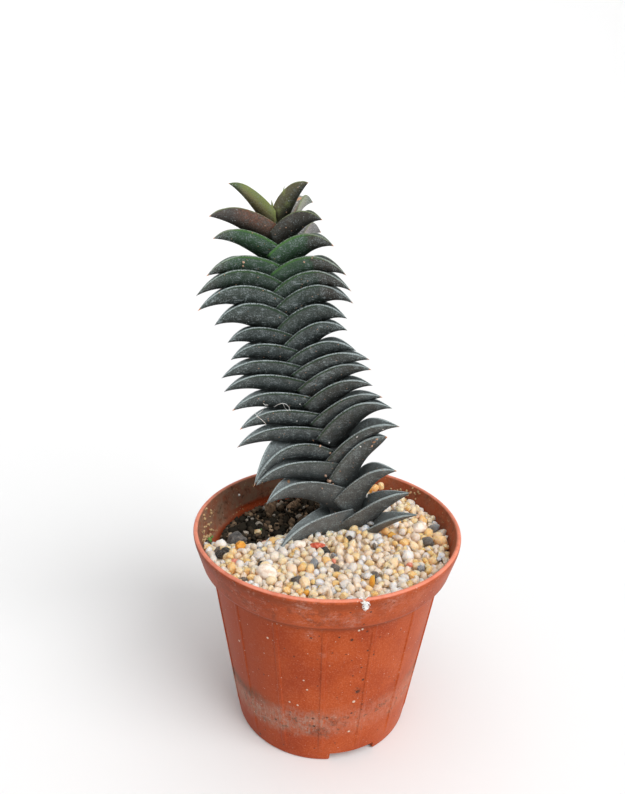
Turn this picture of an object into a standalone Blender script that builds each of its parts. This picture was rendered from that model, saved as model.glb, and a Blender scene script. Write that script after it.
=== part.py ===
"""Potted haworthia: a leaning column of three-ranked, keeled leaves in a 6 cm nursery pot.

The frame has its origin at the centre of the pot's base, +Z up, and the side that the
photograph shows faces -Y. Lengths are in metres.
"""

import math

import bmesh
import bpy
import numpy as np
from mathutils import Matrix, Vector

MM = 0.001

# Driving dimensions
RIM_RADIUS = 30.0 * MM
POT_HEIGHT = 48.6 * MM
LEAF_ROWS = 19
FIT_GAP = 0.3 * MM

# Pot
WALL = 0.9 * MM
POT_STEPS = 48
FOOT_RADIUS = 20.6 * MM
BODY_TOP_RADIUS = 26.1 * MM
BODY_TOP = 39.6 * MM
COLLAR_RADIUS = 28.2 * MM
COLLAR_BOTTOM = 41.4 * MM
FLOOR_UNDERSIDE = 2.1 * MM
FLOOR_TOP = 3.1 * MM
RIB_COUNT = 16
RIB_FIRST = math.radians(-91)
RIB_PROUD = 0.3 * MM
RIB_WIDTH = 0.9 * MM
NOTCH_COUNT = 3
NOTCH_ANGLE = math.radians(28)
NOTCH_FIRST = math.radians(-70)
DRAIN_RADIUS = 2.4 * MM
DRAIN_CIRCLE = 12.5 * MM
DRAIN_COUNT = 4

# Potting mix and grit
MIX_LEVEL = 38.0 * MM
HOLLOW_CENTRE = (-14.5 * MM, 14.0 * MM)
HOLLOW_RADII = (18.0 * MM, 11.0 * MM)
HOLLOW_TURN = math.radians(48)
GRIT_LEVEL = 45.0 * MM
GRIT_EDGE_LEVEL = 41.0 * MM
GRAIN_PITCH = 2.7 * MM
GRAIN_RISE = 0.9 * MM
CRUMB_PITCH = 4.2 * MM
CRUMB_RISE = 1.6 * MM

# Stem: it leans to the left in a smooth S
LEAN_MIDDLE = -3.9 * MM
LEAN_HALF = 9.2 * MM
LEAN_HEIGHT = 74.5 * MM
LEAN_SPAN = 23.0 * MM
STEM_DEPTH = 8.0 * MM
STEM_RADIUS = 3.0 * MM
ROOT_HOLE_RADIUS = 3.35 * MM
STEM_BOTTOM = 22.0 * MM
STEM_TOP = 118.5 * MM
HOLE_NECK_RADIUS = 4.0 * MM
HOLE_MOUTH_RADIUS = 7.9 * MM

# Leaves. Row 1 is the youngest, and each pair is a row and a length in millimetres
TOP_ROW_HEIGHT = 117.3 * MM
ROW_STEP = ((1, 4.1), (4, 4.0), (6, 3.1), (8, 3.5), (11, 3.5), (14, 4.1), (16, 5.0), (17, 6.2), (17.8, 5.2),
            (18.6, 2.0), (19.6, 2.0))
LEFT_REACH = ((1, 8.5), (2, 13.6), (3, 13.6), (4, 16.0), (5, 18.4), (6, 18.6), (8, 13.8), (9, 14.5),
              (10, 17.5), (13, 18.5), (14, 20.0), (15, 19.0), (16, 20.0), (17, 19.7), (18, 20.0))
RIGHT_REACH = ((1, 8.7), (2, 11.6), (3, 14.2), (4, 16.2), (6, 16.8), (7, 15.0), (8, 14.3), (9, 15.6),
               (10, 17.8), (12, 16.6), (14, 19.3), (15, 20.5), (16, 17.3), (17, 17.4), (18, 20.0), (19, 22.0))
BACK_REACH = ((1, 11.8), (2, 14.0), (3, 13.8), (5, 17.6), (8, 14.6), (10, 18.0), (14, 19.8), (17, 18.0))
TIP_RISE = ((1, 5.8), (2, 2.9), (3, 2.6), (4, 0.0), (7, 0.6), (9, 0.6), (10, 1.8), (12, 2.7), (13.5, 3.6),
            (14, 4.4), (14.6, 3.0), (15, 0.2), (15.4, 3.2), (16, 5.4), (16.5, 6.8), (17, 5.4), (17.4, 5.4),
            (18, 3.0))
LEAF_TILT = ((1, 11), (3, 4), (6, 6), (8, 9), (11, 12), (13, 16), (14, 20), (15.5, 26), (16.5, 27), (17, 22),
             (18, 24))
LEAF_WIDTH = 5.4 * MM
LEAF_DEPTH = 5.6 * MM
LEAF_THICKNESS = 2.0 * MM
MARGIN_THICKNESS = 0.6 * MM
LEAF_BOW = 2.6 * MM
TIP_DROOP = 1.2 * MM
LOW_LEAF_DEPTH = ((16, 1.0), (18, 0.8), (19.5, 0.6))
LEAF_STATIONS = (0.0, 0.22, 0.44, 0.64, 0.8, 0.92)
LEAF_ROOT = 1.2 * MM
SEED = 11


def clear_scene():
    for obj in list(bpy.data.objects):
        bpy.data.objects.remove(obj)


def material(name, colour, roughness):
    made = bpy.data.materials.new(name)
    made.use_nodes = True
    shader = made.node_tree.nodes["Principled BSDF"]
    shader.inputs["Base Color"].default_value = (*colour, 1.0)
    shader.inputs["Roughness"].default_value = roughness
    shader.inputs["Metallic"].default_value = 0.0
    return made


def collection(name):
    made = bpy.data.collections.new(name)
    bpy.context.scene.collection.children.link(made)
    return made


def add(name, mesh, where, finish=None):
    obj = bpy.data.objects.new(name, mesh)
    where.objects.link(obj)
    if finish:
        mesh.materials.append(finish)
    return obj


def helper(obj):
    obj.hide_render = True
    obj.display_type = "WIRE"
    return obj


def bake_modifiers(obj):
    """Applies the object's modifiers to its mesh."""
    graph = bpy.context.evaluated_depsgraph_get()
    mesh = bpy.data.meshes.new_from_object(obj.evaluated_get(graph))
    obj.modifiers.clear()
    obj.data = mesh


def boolean(obj, other, operation):
    """Cuts or joins obj with an object, or with every object of a collection, and applies it."""
    made = obj.modifiers.new(operation.lower(), "BOOLEAN")
    made.operation = operation
    if isinstance(other, bpy.types.Collection):
        made.operand_type = "COLLECTION"
        made.collection = other
    else:
        made.object = other
    bake_modifiers(obj)


def turned(name, profile, steps, where, finish=None):
    """A solid of revolution about Z. The profile's (radius, height) points run down its outer side."""
    mesh = bpy.data.meshes.new(name)
    points = [(radius, 0, height) for radius, height in profile]
    edges = [(i, i + 1) for i in range(len(points) - 1)]
    if profile[0][0] > 0:
        edges.append((len(points) - 1, 0))
    mesh.from_pydata(points, edges, [])
    obj = add(name, mesh, where, finish)
    screw = obj.modifiers.new("turn", "SCREW")
    screw.steps = screw.render_steps = steps
    screw.use_merge_vertices = True
    screw.merge_threshold = 0.00002
    return obj


def smooth(obj, degrees=40):
    obj.data.shade_smooth()
    obj.data.set_sharp_from_angle(angle=math.radians(degrees))


def by_knots(knots, row):
    rows, values = zip(*knots)
    return float(np.interp(row, rows, values))


# The pot: a turned shell with a wider collar, a raised floor, ribs, foot notches and drain holes


def pot_outline():
    """(radius, height) down the outside, under the foot, and up the inside."""
    lip = 0.45 * MM
    outside = [
        (RIM_RADIUS - lip, POT_HEIGHT),
        (RIM_RADIUS, POT_HEIGHT - lip),
        (RIM_RADIUS - 0.1 * MM, POT_HEIGHT - 1.4 * MM),
        (COLLAR_RADIUS, COLLAR_BOTTOM),
        (COLLAR_RADIUS - 0.6 * MM, COLLAR_BOTTOM - 0.9 * MM),
        (BODY_TOP_RADIUS + 0.4 * MM, BODY_TOP + 0.3 * MM),
        (BODY_TOP_RADIUS, BODY_TOP - 0.5 * MM),
        (FOOT_RADIUS + 0.3 * MM, FLOOR_UNDERSIDE),
        (FOOT_RADIUS, 0),
    ]
    under = [
        (FOOT_RADIUS - 1.1 * MM, 0),
        (FOOT_RADIUS - 0.9 * MM, FLOOR_UNDERSIDE),
        (0, FLOOR_UNDERSIDE),
    ]
    return outside, under


def inner_outline():
    """(radius, height) of the pot's inside, from the rim down to the floor."""
    return [
        (RIM_RADIUS - WALL, POT_HEIGHT - 0.1 * MM),
        (COLLAR_RADIUS - WALL, COLLAR_BOTTOM + 0.2 * MM),
        (BODY_TOP_RADIUS - WALL, BODY_TOP + 0.2 * MM),
        (FOOT_RADIUS + 0.3 * MM - WALL, FLOOR_TOP),
    ]


def make_pot(where, cutters, finish):
    outside, under = pot_outline()
    inside = inner_outline()
    profile = [(0, FLOOR_TOP)] + inside[::-1] + outside + under
    pot = turned("pot", profile[::-1], POT_STEPS, where, finish)
    bake_modifiers(pot)
    recalculate(pot)
    ribs = collection("ribs")
    for number in range(RIB_COUNT):
        make_rib(number, ribs)
    boolean(pot, ribs, "UNION")
    discard(ribs)
    for number in range(NOTCH_COUNT):
        cutter_notch(number, cutters)
    for number in range(DRAIN_COUNT + 1):
        cutter_drain(number, cutters)
    boolean(pot, cutters, "DIFFERENCE")
    smooth(pot)
    return pot


def recalculate(obj):
    work = bmesh.new()
    work.from_mesh(obj.data)
    bmesh.ops.remove_doubles(work, verts=work.verts, dist=0.000005)
    bmesh.ops.recalc_face_normals(work, faces=work.faces)
    work.to_mesh(obj.data)
    work.free()


def discard(where):
    for obj in list(where.objects):
        bpy.data.objects.remove(obj)
    bpy.data.collections.remove(where)


def block(name, size, centre, turn, where):
    """A box of the given size about a centre, turned by a matrix about the origin."""
    work = bmesh.new()
    bmesh.ops.create_cube(work, size=1.0)
    bmesh.ops.scale(work, vec=Vector(size), verts=work.verts)
    bmesh.ops.translate(work, vec=Vector(centre), verts=work.verts)
    bmesh.ops.transform(work, matrix=turn, verts=work.verts)
    mesh = bpy.data.meshes.new(name)
    work.to_mesh(mesh)
    work.free()
    return add(name, mesh, where)


def make_rib(number, where):
    """One upright rib, a thin bar half sunk in the body's wall and leaning with it."""
    low, high = 1.2 * MM, BODY_TOP - 0.8 * MM
    lean = math.atan2(BODY_TOP_RADIUS - FOOT_RADIUS, BODY_TOP)
    middle = (low + high) / 2
    radius = FOOT_RADIUS + (BODY_TOP_RADIUS - FOOT_RADIUS) * middle / BODY_TOP
    bar = (2 * RIB_PROUD, RIB_WIDTH, high - low)
    place = (
        Matrix.Rotation(RIB_FIRST + number * math.tau / RIB_COUNT, 4, "Z")
        @ Matrix.Translation((radius, 0, middle))
        @ Matrix.Rotation(lean, 4, "Y")
    )
    block(f"rib_{number}", bar, (0, 0, 0), place, where)


def cutter_notch(number, where):
    """A gap in the foot ring, as wide as NOTCH_ANGLE."""
    width = 2 * FOOT_RADIUS * math.sin(NOTCH_ANGLE / 2)
    size = (4 * MM, width, 2 * FLOOR_UNDERSIDE - 0.1 * MM)
    turn = Matrix.Rotation(NOTCH_FIRST + number * math.tau / NOTCH_COUNT, 4, "Z")
    helper(block(f"cut_notch_{number}", size, (FOOT_RADIUS, 0, 0), turn, where))


def cutter_drain(number, where):
    """A drain hole through the floor: one in the middle, the others on a circle."""
    work = bmesh.new()
    bmesh.ops.create_cone(work, cap_ends=True, segments=16, radius1=DRAIN_RADIUS,
                          radius2=DRAIN_RADIUS, depth=4 * MM)
    angle = math.radians(15) + number * math.tau / DRAIN_COUNT
    out = DRAIN_CIRCLE if number < DRAIN_COUNT else 0
    centre = (out * math.cos(angle), out * math.sin(angle), FLOOR_TOP)
    bmesh.ops.translate(work, vec=Vector(centre), verts=work.verts)
    mesh = bpy.data.meshes.new(f"cut_drain_{number}")
    work.to_mesh(mesh)
    work.free()
    helper(add(mesh.name, mesh, where))


# The potting mix and the grit: blocks whose tops are raised by a formula, cut to the pot's inside


def hollow(x, y):
    """1 at the middle of the hollow at the back left, 0 on its edge, and below 0 outside."""
    dx, dy = x - HOLLOW_CENTRE[0], y - HOLLOW_CENTRE[1]
    across = dx * math.cos(HOLLOW_TURN) + dy * math.sin(HOLLOW_TURN)
    along = dy * math.cos(HOLLOW_TURN) - dx * math.sin(HOLLOW_TURN)
    return 1 - np.hypot(across / HOLLOW_RADII[0], along / HOLLOW_RADII[1])


def grit_level(x, y):
    """The grit's mean height: nearly level, lower at the right, and falling to the hollow's edge."""
    bank = np.clip(-hollow(x, y) / 0.55, 0, 1)
    level = GRIT_LEVEL - 0.03 * np.maximum(x, 0) - 0.02 * y
    return GRIT_EDGE_LEVEL + (level - GRIT_EDGE_LEVEL) * bank * (2 - bank)


def grain_rise(x, y):
    return np.full_like(x, GRAIN_RISE)


def mix_level(x, y):
    """The mix's height: a flat bed under the grit, a little higher in the hollow and by the wall."""
    return MIX_LEVEL + in_hollow(x, y) * (0.6 * MM + 0.06 * np.maximum(np.hypot(x, y) - 14 * MM, 0))


def in_hollow(x, y):
    """1 well inside the hollow and 0 near its edge and beyond."""
    return np.clip((hollow(x, y) - 0.16) * 5, 0, 1)


def crumb_rise(x, y):
    """Loose crumbs in the hollow only."""
    return CRUMB_RISE * in_hollow(x, y)


def raised_block(name, pitch, rise, level, bottom, where, seed):
    """A block over a triangular net of points. Every third point is a grain's top, the others lie
    between grains, and all are moved a little at random."""
    draw = np.random.default_rng(seed)
    step = pitch / math.sqrt(3)
    reach = RIM_RADIUS + 2 * step
    columns = int(2 * reach / step)
    rows = int(2 * reach / (step * math.sqrt(3) / 2))
    row, column = np.mgrid[0:rows, 0:columns]
    x = (column + 0.5 * (row % 2)) * step - reach
    y = row * step * math.sqrt(3) / 2 - reach
    top = (column + (row % 2) * 2 + (row // 2)) % 3 == 0
    x = x + draw.uniform(-0.28, 0.28, x.shape) * step
    y = y + draw.uniform(-0.28, 0.28, y.shape) * step
    lift = np.where(top, draw.uniform(0.35, 1.0, x.shape), draw.uniform(-0.3, 0.1, x.shape))
    z = level(x, y) + lift * rise(x, y)
    points = np.stack([x, y, z], -1).reshape(-1, 3)
    faces = []
    for r in range(rows - 1):
        for c in range(columns - 1):
            a, b = r * columns + c, r * columns + c + 1
            d, e = a + columns, b + columns
            faces += [(a, b, e), (a, e, d)] if r % 2 else [(a, b, d), (b, e, d)]
    mesh = bpy.data.meshes.new(name)
    mesh.from_pydata(points.tolist(), [], faces)
    work = bmesh.new()
    work.from_mesh(mesh)
    rim = [edge for edge in work.edges if edge.is_boundary]
    skirt = bmesh.ops.extrude_edge_only(work, edges=rim)["geom"]
    low = [v for v in skirt if isinstance(v, bmesh.types.BMVert)]
    for vertex in low:
        vertex.co.z = bottom
    loop = [e for e in skirt if isinstance(e, bmesh.types.BMEdge) and e.is_boundary]
    bmesh.ops.contextual_create(work, geom=loop)
    bmesh.ops.recalc_face_normals(work, faces=work.faces)
    work.to_mesh(mesh)
    work.free()
    return add(name, mesh, where)


def inside_mould(name, bottom, top, where):
    """The pot's inner space between two heights, FIT_GAP clear of the wall."""
    radii = [(r, z) for r, z in inner_outline()]
    radii.sort(key=lambda point: point[1])
    heights = [z for _, z in radii]

    def radius(z):
        return float(np.interp(z, heights, [r for r, _ in radii])) - FIT_GAP

    between = [z for z in heights if bottom < z < top][::-1]
    profile = [(0, top), (radius(top), top)]
    profile += [(radius(z), z) for z in between]
    profile += [(radius(bottom), bottom), (0, bottom)]
    mould = turned(name, profile, POT_STEPS, where)
    bake_modifiers(mould)
    recalculate(mould)
    return mould


def hole_radius(z):
    """The plain hole round the stem, which widens upwards through the grit."""
    share = (z - MIX_LEVEL) / (POT_HEIGHT - MIX_LEVEL)
    return HOLE_NECK_RADIUS + (HOLE_MOUTH_RADIUS - HOLE_NECK_RADIUS) * min(max(share, 0.0), 1.0)


def hollow_cutter(name, where):
    """An upright oval prism over the hollow."""
    work = bmesh.new()
    bmesh.ops.create_cone(work, cap_ends=True, segments=28, radius1=1, radius2=1, depth=40 * MM)
    place = (
        Matrix.Translation((*HOLLOW_CENTRE, 55 * MM))
        @ Matrix.Rotation(HOLLOW_TURN, 4, "Z")
        @ Matrix.Diagonal((*HOLLOW_RADII, 1, 1))
    )
    bmesh.ops.transform(work, matrix=place, verts=work.verts)
    mesh = bpy.data.meshes.new(name)
    work.to_mesh(mesh)
    work.free()
    return add(name, mesh, where)


def cut_seats(obj, where):
    """A dent under each stone, FIT_GAP larger than the stone."""
    for name, centre, size, turn, *_ in STONES:
        seat = stone_mesh(f"seat_{name}", name, centre, size, turn, FIT_GAP, where)
        boolean(obj, seat, "DIFFERENCE")


def make_mix(where, finish):
    mix = raised_block("potting_mix", CRUMB_PITCH, crumb_rise, mix_level, FLOOR_TOP, where, SEED + 1)
    mix.data.materials.append(finish)
    work = collection("mix_cutters")
    boolean(mix, inside_mould("mould", FLOOR_TOP + FIT_GAP, POT_HEIGHT, work), "INTERSECT")
    heights = np.linspace(STEM_BOTTOM - FIT_GAP, POT_HEIGHT, 6).tolist()
    boolean(mix, stem_tube("stem_hole", lambda z: ROOT_HOLE_RADIUS, heights, 10, work), "DIFFERENCE")
    cut_seats(mix, work)
    discard(work)
    return mix


def make_grit(where, finish):
    bottom = MIX_LEVEL + FIT_GAP
    grit = raised_block("grit", GRAIN_PITCH, grain_rise, grit_level, bottom - MM, where, SEED + 2)
    grit.data.materials.append(finish)
    work = collection("grit_cutters")
    boolean(grit, inside_mould("mould", bottom, POT_HEIGHT, work), "INTERSECT")
    boolean(grit, hollow_cutter("hollow_cut", work), "DIFFERENCE")
    heights = np.linspace(bottom - 2 * MM, POT_HEIGHT, 6).tolist()
    boolean(grit, stem_tube("stem_hole", hole_radius, heights, 16, work), "DIFFERENCE")
    cut_seats(grit, work)
    discard(work)
    return grit


# Loose stones and bits of bark, each a faceted pebble in its own dent

STONES = (
    ("stone_cream", (-12.4, -17.0, 45.6), (4.9, 4.2, 4.4), 20, "limestone"),
    ("stone_small", (-6.2, -5.4, 45.4), (3.2, 2.4, 2.2), -10, "limestone"),
    ("stone_red", (-2.1, -5.6, 45.4), (3.8, 2.2, 1.9), -12, "red_stone"),
    ("stone_pink", (21.9, 4.4, 44.9), (3.8, 3.0, 2.6), 30, "limestone"),
    ("stone_granite", (-6.2, -19.4, 45.6), (2.9, 2.4, 2.2), 50, "dark_stone"),
    ("charcoal", (-20.6, 0.6, 42.3), (5.2, 4.0, 3.8), 15, "dark_stone"),
    ("bark_long", (-14.0, 18.2, 41.4), (3.2, 2.4, 4.8), -20, "bark"),
    ("bark_short", (-8.6, 20.6, 41.0), (4.4, 2.8, 2.6), 35, "bark"),
)


def stone_mesh(name, kind, centre, size, turn, grow, where, finish=None):
    """An icosphere of the given size with every point moved in or out at random. The draw depends
    on the stone alone, so that a dent drawn with it fits it with an even gap."""
    draw = np.random.default_rng(SEED + sum(map(ord, kind)))
    work = bmesh.new()
    bmesh.ops.create_icosphere(work, subdivisions=2, radius=1)
    half = Vector(size) * (MM / 2)
    for vertex in work.verts:
        out = vertex.co.normalized()
        vertex.co = out * float(draw.uniform(0.86, 1.05))
        vertex.co = Vector([a * b for a, b in zip(vertex.co, half)]) + out * grow
    place = Matrix.Translation(Vector(centre) * MM) @ Matrix.Rotation(math.radians(turn), 4, "Z")
    bmesh.ops.transform(work, matrix=place, verts=work.verts)
    mesh = bpy.data.meshes.new(name)
    work.to_mesh(mesh)
    work.free()
    return add(name, mesh, where, finish)


# The leafy stem


def stem_point(z):
    x = LEAN_MIDDLE - LEAN_HALF * math.tanh((z - LEAN_HEIGHT) / LEAN_SPAN)
    return Vector((x, STEM_DEPTH - 0.02 * (z - MIX_LEVEL), z))


def frame_about(along, azimuth):
    """Outward, sideways and along directions for what grows at an azimuth from an axis."""
    outward = Vector((math.cos(azimuth), math.sin(azimuth), 0))
    outward = (outward - along * outward.dot(along)).normalized()
    return outward, along.cross(outward), along


def leaf_frame(leaf):
    """A leaf's own directions: its plane tilts to the left, as the stem does."""
    return frame_about(Vector((-math.sin(leaf["tilt"]), 0, math.cos(leaf["tilt"]))), leaf["azimuth"])


def stem_tube(name, radius, heights, sides, where):
    """A closed tube along the stem's line, whose radius is a function of height."""
    work = bmesh.new()
    rings = []
    for z in heights:
        centre = stem_point(z)
        along = (stem_point(z + MM) - stem_point(z - MM)).normalized()
        outward, sideways, _ = frame_about(along, 0.0)
        turn = [k * math.tau / sides for k in range(sides)]
        rings.append([
            work.verts.new(centre + (outward * math.cos(a) + sideways * math.sin(a)) * radius(z)) for a in turn
        ])
    for low, high in zip(rings, rings[1:]):
        for k in range(sides):
            n = (k + 1) % sides
            work.faces.new((low[k], low[n], high[n], high[k]))
    work.faces.new(rings[0][::-1])
    work.faces.new(rings[-1])
    mesh = bpy.data.meshes.new(name)
    work.to_mesh(mesh)
    work.free()
    return add(name, mesh, where)


def leaf_section(v, leaf):
    """The closed outline of a leaf's cross-section at v, 0 at the stem and 1 at the tip, as
    (outward, sideways, along) triples. The outline is a keeled trough, open at the top."""
    reach, rise, size = leaf["reach"], leaf["rise"], leaf["size"]
    width = LEAF_WIDTH * size * (1 - v**1.25) ** 1.15
    depth = LEAF_DEPTH * size * leaf["depth"] * (1 - v**2.3) ** 1.05
    droop = TIP_DROOP * size * (v - max(0.0, (v - 0.55) / 0.45) ** 1.6)
    edge = rise * v + 4 * LEAF_BOW * size * v * (1 - v) + droop
    keel = edge - depth
    flesh = min(LEAF_THICKNESS, 0.6 * depth)
    lip = width - min(MARGIN_THICKNESS, 0.6 * width)
    out = LEAF_ROOT + (reach - LEAF_ROOT) * v
    outline = [
        (width, edge), (0.5 * width, keel + 0.39 * depth), (0, keel),
        (-0.5 * width, keel + 0.39 * depth), (-width, edge),
        (-lip, edge), (0, keel + flesh), (lip, edge),
    ]
    return [(out, side, along) for side, along in outline]


def leaf_mesh(name, leaf, where):
    """One leaf: a loft through its cross-sections, closed at the root and drawn to a point."""
    origin = stem_point(leaf["z"])
    outward, sideways, along = leaf_frame(leaf)
    work = bmesh.new()
    rings = []
    for v in LEAF_STATIONS:
        outline = leaf_section(v, leaf)
        section = [origin + outward * a + sideways * b + along * c for a, b, c in outline]
        up = Vector((0, 0, lift_clear(section)))
        rings.append([work.verts.new(point + up) for point in section])
    tip = work.verts.new(origin + outward * leaf["reach"] + along * leaf["rise"] + up)
    count = len(rings[0])
    for near, far in zip(rings, rings[1:]):
        for k in range(count):
            n = (k + 1) % count
            work.faces.new((near[k], near[n], far[n]))
            work.faces.new((near[k], far[n], far[k]))
    for k in range(count):
        work.faces.new((rings[-1][k], rings[-1][(k + 1) % count], tip))
    work.faces.new(rings[0][::-1])
    bmesh.ops.recalc_face_normals(work, faces=work.faces)
    mesh = bpy.data.meshes.new(name)
    work.to_mesh(mesh)
    work.free()
    return add(name, mesh, where)


def row_height(row):
    """The height on the stem where a row's leaves meet their neighbours' edges."""
    rows = np.linspace(1, row, 40)
    return TOP_ROW_HEIGHT - (row - 1) * float(np.mean(np.interp(rows, *zip(*ROW_STEP)))) * MM


# Each rank has its azimuth by row, its reach by row, and how far its leaves follow the left rank's
RANKS = (
    (((1, 208), (16, 208), (18, 218)), LEFT_REACH, 0.0),
    (((1, 328), (18, 330)), RIGHT_REACH, 0.45),
    (((1, 48), (2, 52), (4, 84), (18, 90)), BACK_REACH, 1.1),
)


def lift_clear(section):
    """How far a cross-section must rise to stand clear of the grit that it is over."""
    lift = 0.0
    for point in section:
        middle = stem_point(point.z)
        if math.hypot(point.x - middle.x, point.y - middle.y) < hole_radius(point.z) - FIT_GAP:
            continue
        ground = float(grit_level(np.array(point.x), np.array(point.y))) + GRAIN_RISE + FIT_GAP
        if hollow(point.x, point.y) > 0:
            ground = MIX_LEVEL + 3 * CRUMB_RISE
        lift = max(lift, ground - point.z)
    return lift


def leaves_of_row(row, draw):
    """One leaf of each rank that the row has, with small random differences."""
    for azimuths, reaches, later in RANKS:
        place = row + later
        sway = draw.normal(0, 1, 3)
        if row > reaches[-1][0]:
            continue
        reach = by_knots(reaches, row) * MM * (1 + 0.01 * sway[0])
        yield {
            "z": row_height(place),
            "azimuth": math.radians(by_knots(azimuths, row) + 1.5 * sway[2]),
            "reach": reach,
            "rise": (by_knots(TIP_RISE, place) + 0.15 * sway[1]) * MM,
            "size": min(1.0, 0.65 + 0.05 * (reach / MM - 8)),
            "tilt": math.radians(by_knots(LEAF_TILT, place)),
            "depth": by_knots(LOW_LEAF_DEPTH, place),
        }


def make_plant(where, finish):
    heights = np.linspace(STEM_BOTTOM, STEM_TOP, 13).tolist()
    plant = stem_tube("leafy_stem", stem_radius, heights, 10, where)
    plant.data.materials.append(finish)
    leaves = collection("leaves")
    draw = np.random.default_rng(SEED)
    for row in range(1, LEAF_ROWS + 1):
        for leaf in leaves_of_row(row, draw):
            leaf_mesh(f"leaf_{row}", leaf, leaves)
    boolean(plant, leaves, "UNION")
    discard(leaves)
    fill_pockets(plant)
    return plant


def fill_pockets(obj):
    """Keeps the outer surface alone, so that a pocket sealed between leaves becomes solid."""
    work = bmesh.new()
    work.from_mesh(obj.data)
    bmesh.ops.remove_doubles(work, verts=work.verts, dist=0.000001)
    unseen = set(work.faces)
    shells = []
    while unseen:
        shell, edge_of = set(), [next(iter(unseen))]
        while edge_of:
            face = edge_of.pop()
            if face in shell:
                continue
            shell.add(face)
            edge_of += [other for edge in face.edges for other in edge.link_faces if other not in shell]
        unseen -= shell
        shells.append(shell)
    outer = max(shells, key=len)
    pockets = [face for shell in shells if shell is not outer for face in shell]
    bmesh.ops.delete(work, geom=pockets, context="FACES")
    work.to_mesh(obj.data)
    work.free()


def stem_radius(z):
    """Even along the column, narrower towards the growing tip."""
    return STEM_RADIUS * (1 - 0.85 * max(0.0, (z - 104 * MM) / (STEM_TOP - 104 * MM)))


def main():
    clear_scene()
    parts = collection("potted_haworthia")
    cutters = collection("cutters")
    finishes = {
        "limestone": material("limestone", (0.62, 0.52, 0.40), 0.8),
        "red_stone": material("red_stone", (0.55, 0.11, 0.06), 0.7),
        "dark_stone": material("dark_stone", (0.06, 0.055, 0.05), 0.9),
        "bark": material("bark", (0.09, 0.045, 0.025), 0.9),
    }
    make_pot(parts, cutters, material("terracotta_plastic", (0.42, 0.095, 0.04), 0.55))
    make_mix(parts, material("potting_mix", (0.035, 0.025, 0.02), 0.95))
    make_grit(parts, material("quartz_grit", (0.60, 0.48, 0.33), 0.6))
    for name, centre, size, turn, finish in STONES:
        stone_mesh(name, name, centre, size, turn, 0.0, parts, finishes[finish])
    make_plant(parts, material("leaf", (0.045, 0.06, 0.055), 0.6))


main()
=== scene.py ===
"""Potted haworthia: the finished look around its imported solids.

The frame is the solids' own: metres, +Z up, the origin under the middle of the pot, and the side that
the photograph shows towards -Y."""

import math
from functools import cached_property

import bmesh
import bpy
import numpy as np
from mathutils import Matrix, Vector
from mathutils.bvhtree import BVHTree


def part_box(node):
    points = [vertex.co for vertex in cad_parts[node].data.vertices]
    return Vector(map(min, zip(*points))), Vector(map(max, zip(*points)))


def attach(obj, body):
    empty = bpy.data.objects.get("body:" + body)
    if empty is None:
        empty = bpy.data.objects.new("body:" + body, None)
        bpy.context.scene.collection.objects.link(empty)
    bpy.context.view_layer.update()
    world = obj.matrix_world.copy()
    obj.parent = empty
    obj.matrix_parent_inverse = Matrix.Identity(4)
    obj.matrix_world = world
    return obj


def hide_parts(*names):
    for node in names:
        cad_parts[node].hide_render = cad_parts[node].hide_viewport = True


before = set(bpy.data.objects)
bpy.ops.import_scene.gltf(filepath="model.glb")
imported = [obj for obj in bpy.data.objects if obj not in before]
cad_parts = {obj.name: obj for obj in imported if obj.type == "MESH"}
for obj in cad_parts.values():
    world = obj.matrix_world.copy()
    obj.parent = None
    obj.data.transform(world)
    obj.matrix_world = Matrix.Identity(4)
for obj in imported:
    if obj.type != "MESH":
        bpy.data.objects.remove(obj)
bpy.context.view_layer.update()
MM = 0.001

# The camera looks down on the plant from the front and from close by, as the photograph does. Its
# place and lens were solved from the pot's rim, collar and foot.

EYE = np.array([-3.99, -134.71, 124.67]) * MM
LOOK_DOWN = math.radians(19.03)
ROLL = math.radians(-1.42)
FOCAL_PIXELS = 669
PHOTO_SIZE = (625, 794)
SENSOR = 36.0


def camera_axes():
    """Right, up and back, with up and right turned about back by the roll."""
    right = np.array([1.0, 0.0, 0.0])
    up = np.array([0.0, math.sin(LOOK_DOWN), math.cos(LOOK_DOWN)])
    back = np.array([0.0, -math.cos(LOOK_DOWN), math.sin(LOOK_DOWN)])
    c, s = math.cos(ROLL), math.sin(ROLL)
    return right * c - up * s, right * s + up * c, back


def pixel_ray(x, y):
    """The direction from the eye through a pixel of the photograph, as a unit vector."""
    right, up, back = camera_axes()
    across = (x - PHOTO_SIZE[0] / 2) / FOCAL_PIXELS
    rise = (PHOTO_SIZE[1] / 2 - y) / FOCAL_PIXELS
    way = right * across + up * rise - back
    return way / np.linalg.norm(way)


def pixel_at_height(x, y, z):
    """The point at height z that a pixel of the photograph shows."""
    way = pixel_ray(x, y)
    return EYE + way * (z - EYE[2]) / way[2]


lens = bpy.data.cameras.new("camera")
lens.sensor_width = SENSOR
lens.lens = SENSOR * FOCAL_PIXELS / max(PHOTO_SIZE)
lens.clip_start = 5 * MM
camera = bpy.data.objects.new("camera", lens)
turn = Matrix(np.stack(camera_axes(), 1).tolist()).to_4x4()
camera.matrix_world = Matrix.Translation(EYE.tolist()) @ turn
bpy.context.scene.collection.objects.link(camera)
bpy.context.scene.camera = camera
bpy.context.scene.view_settings.view_transform = "Standard"

# Soft studio light: a broad lamp high at the right front, which gives the pot its lit and its shaded
# side, a very broad one above for the leaves' upper edges, and a dim sky all round.

SKY_STRENGTH = 0.14
# (name, the way to the light, how wide it looks in degrees, its strength)
LAMPS = (
    ("lamp_right", (0.58, -0.50, 0.66), 42, 2.05),
    ("lamp_above", (0.06, -0.16, 1.0), 84, 1.9),
)


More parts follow.
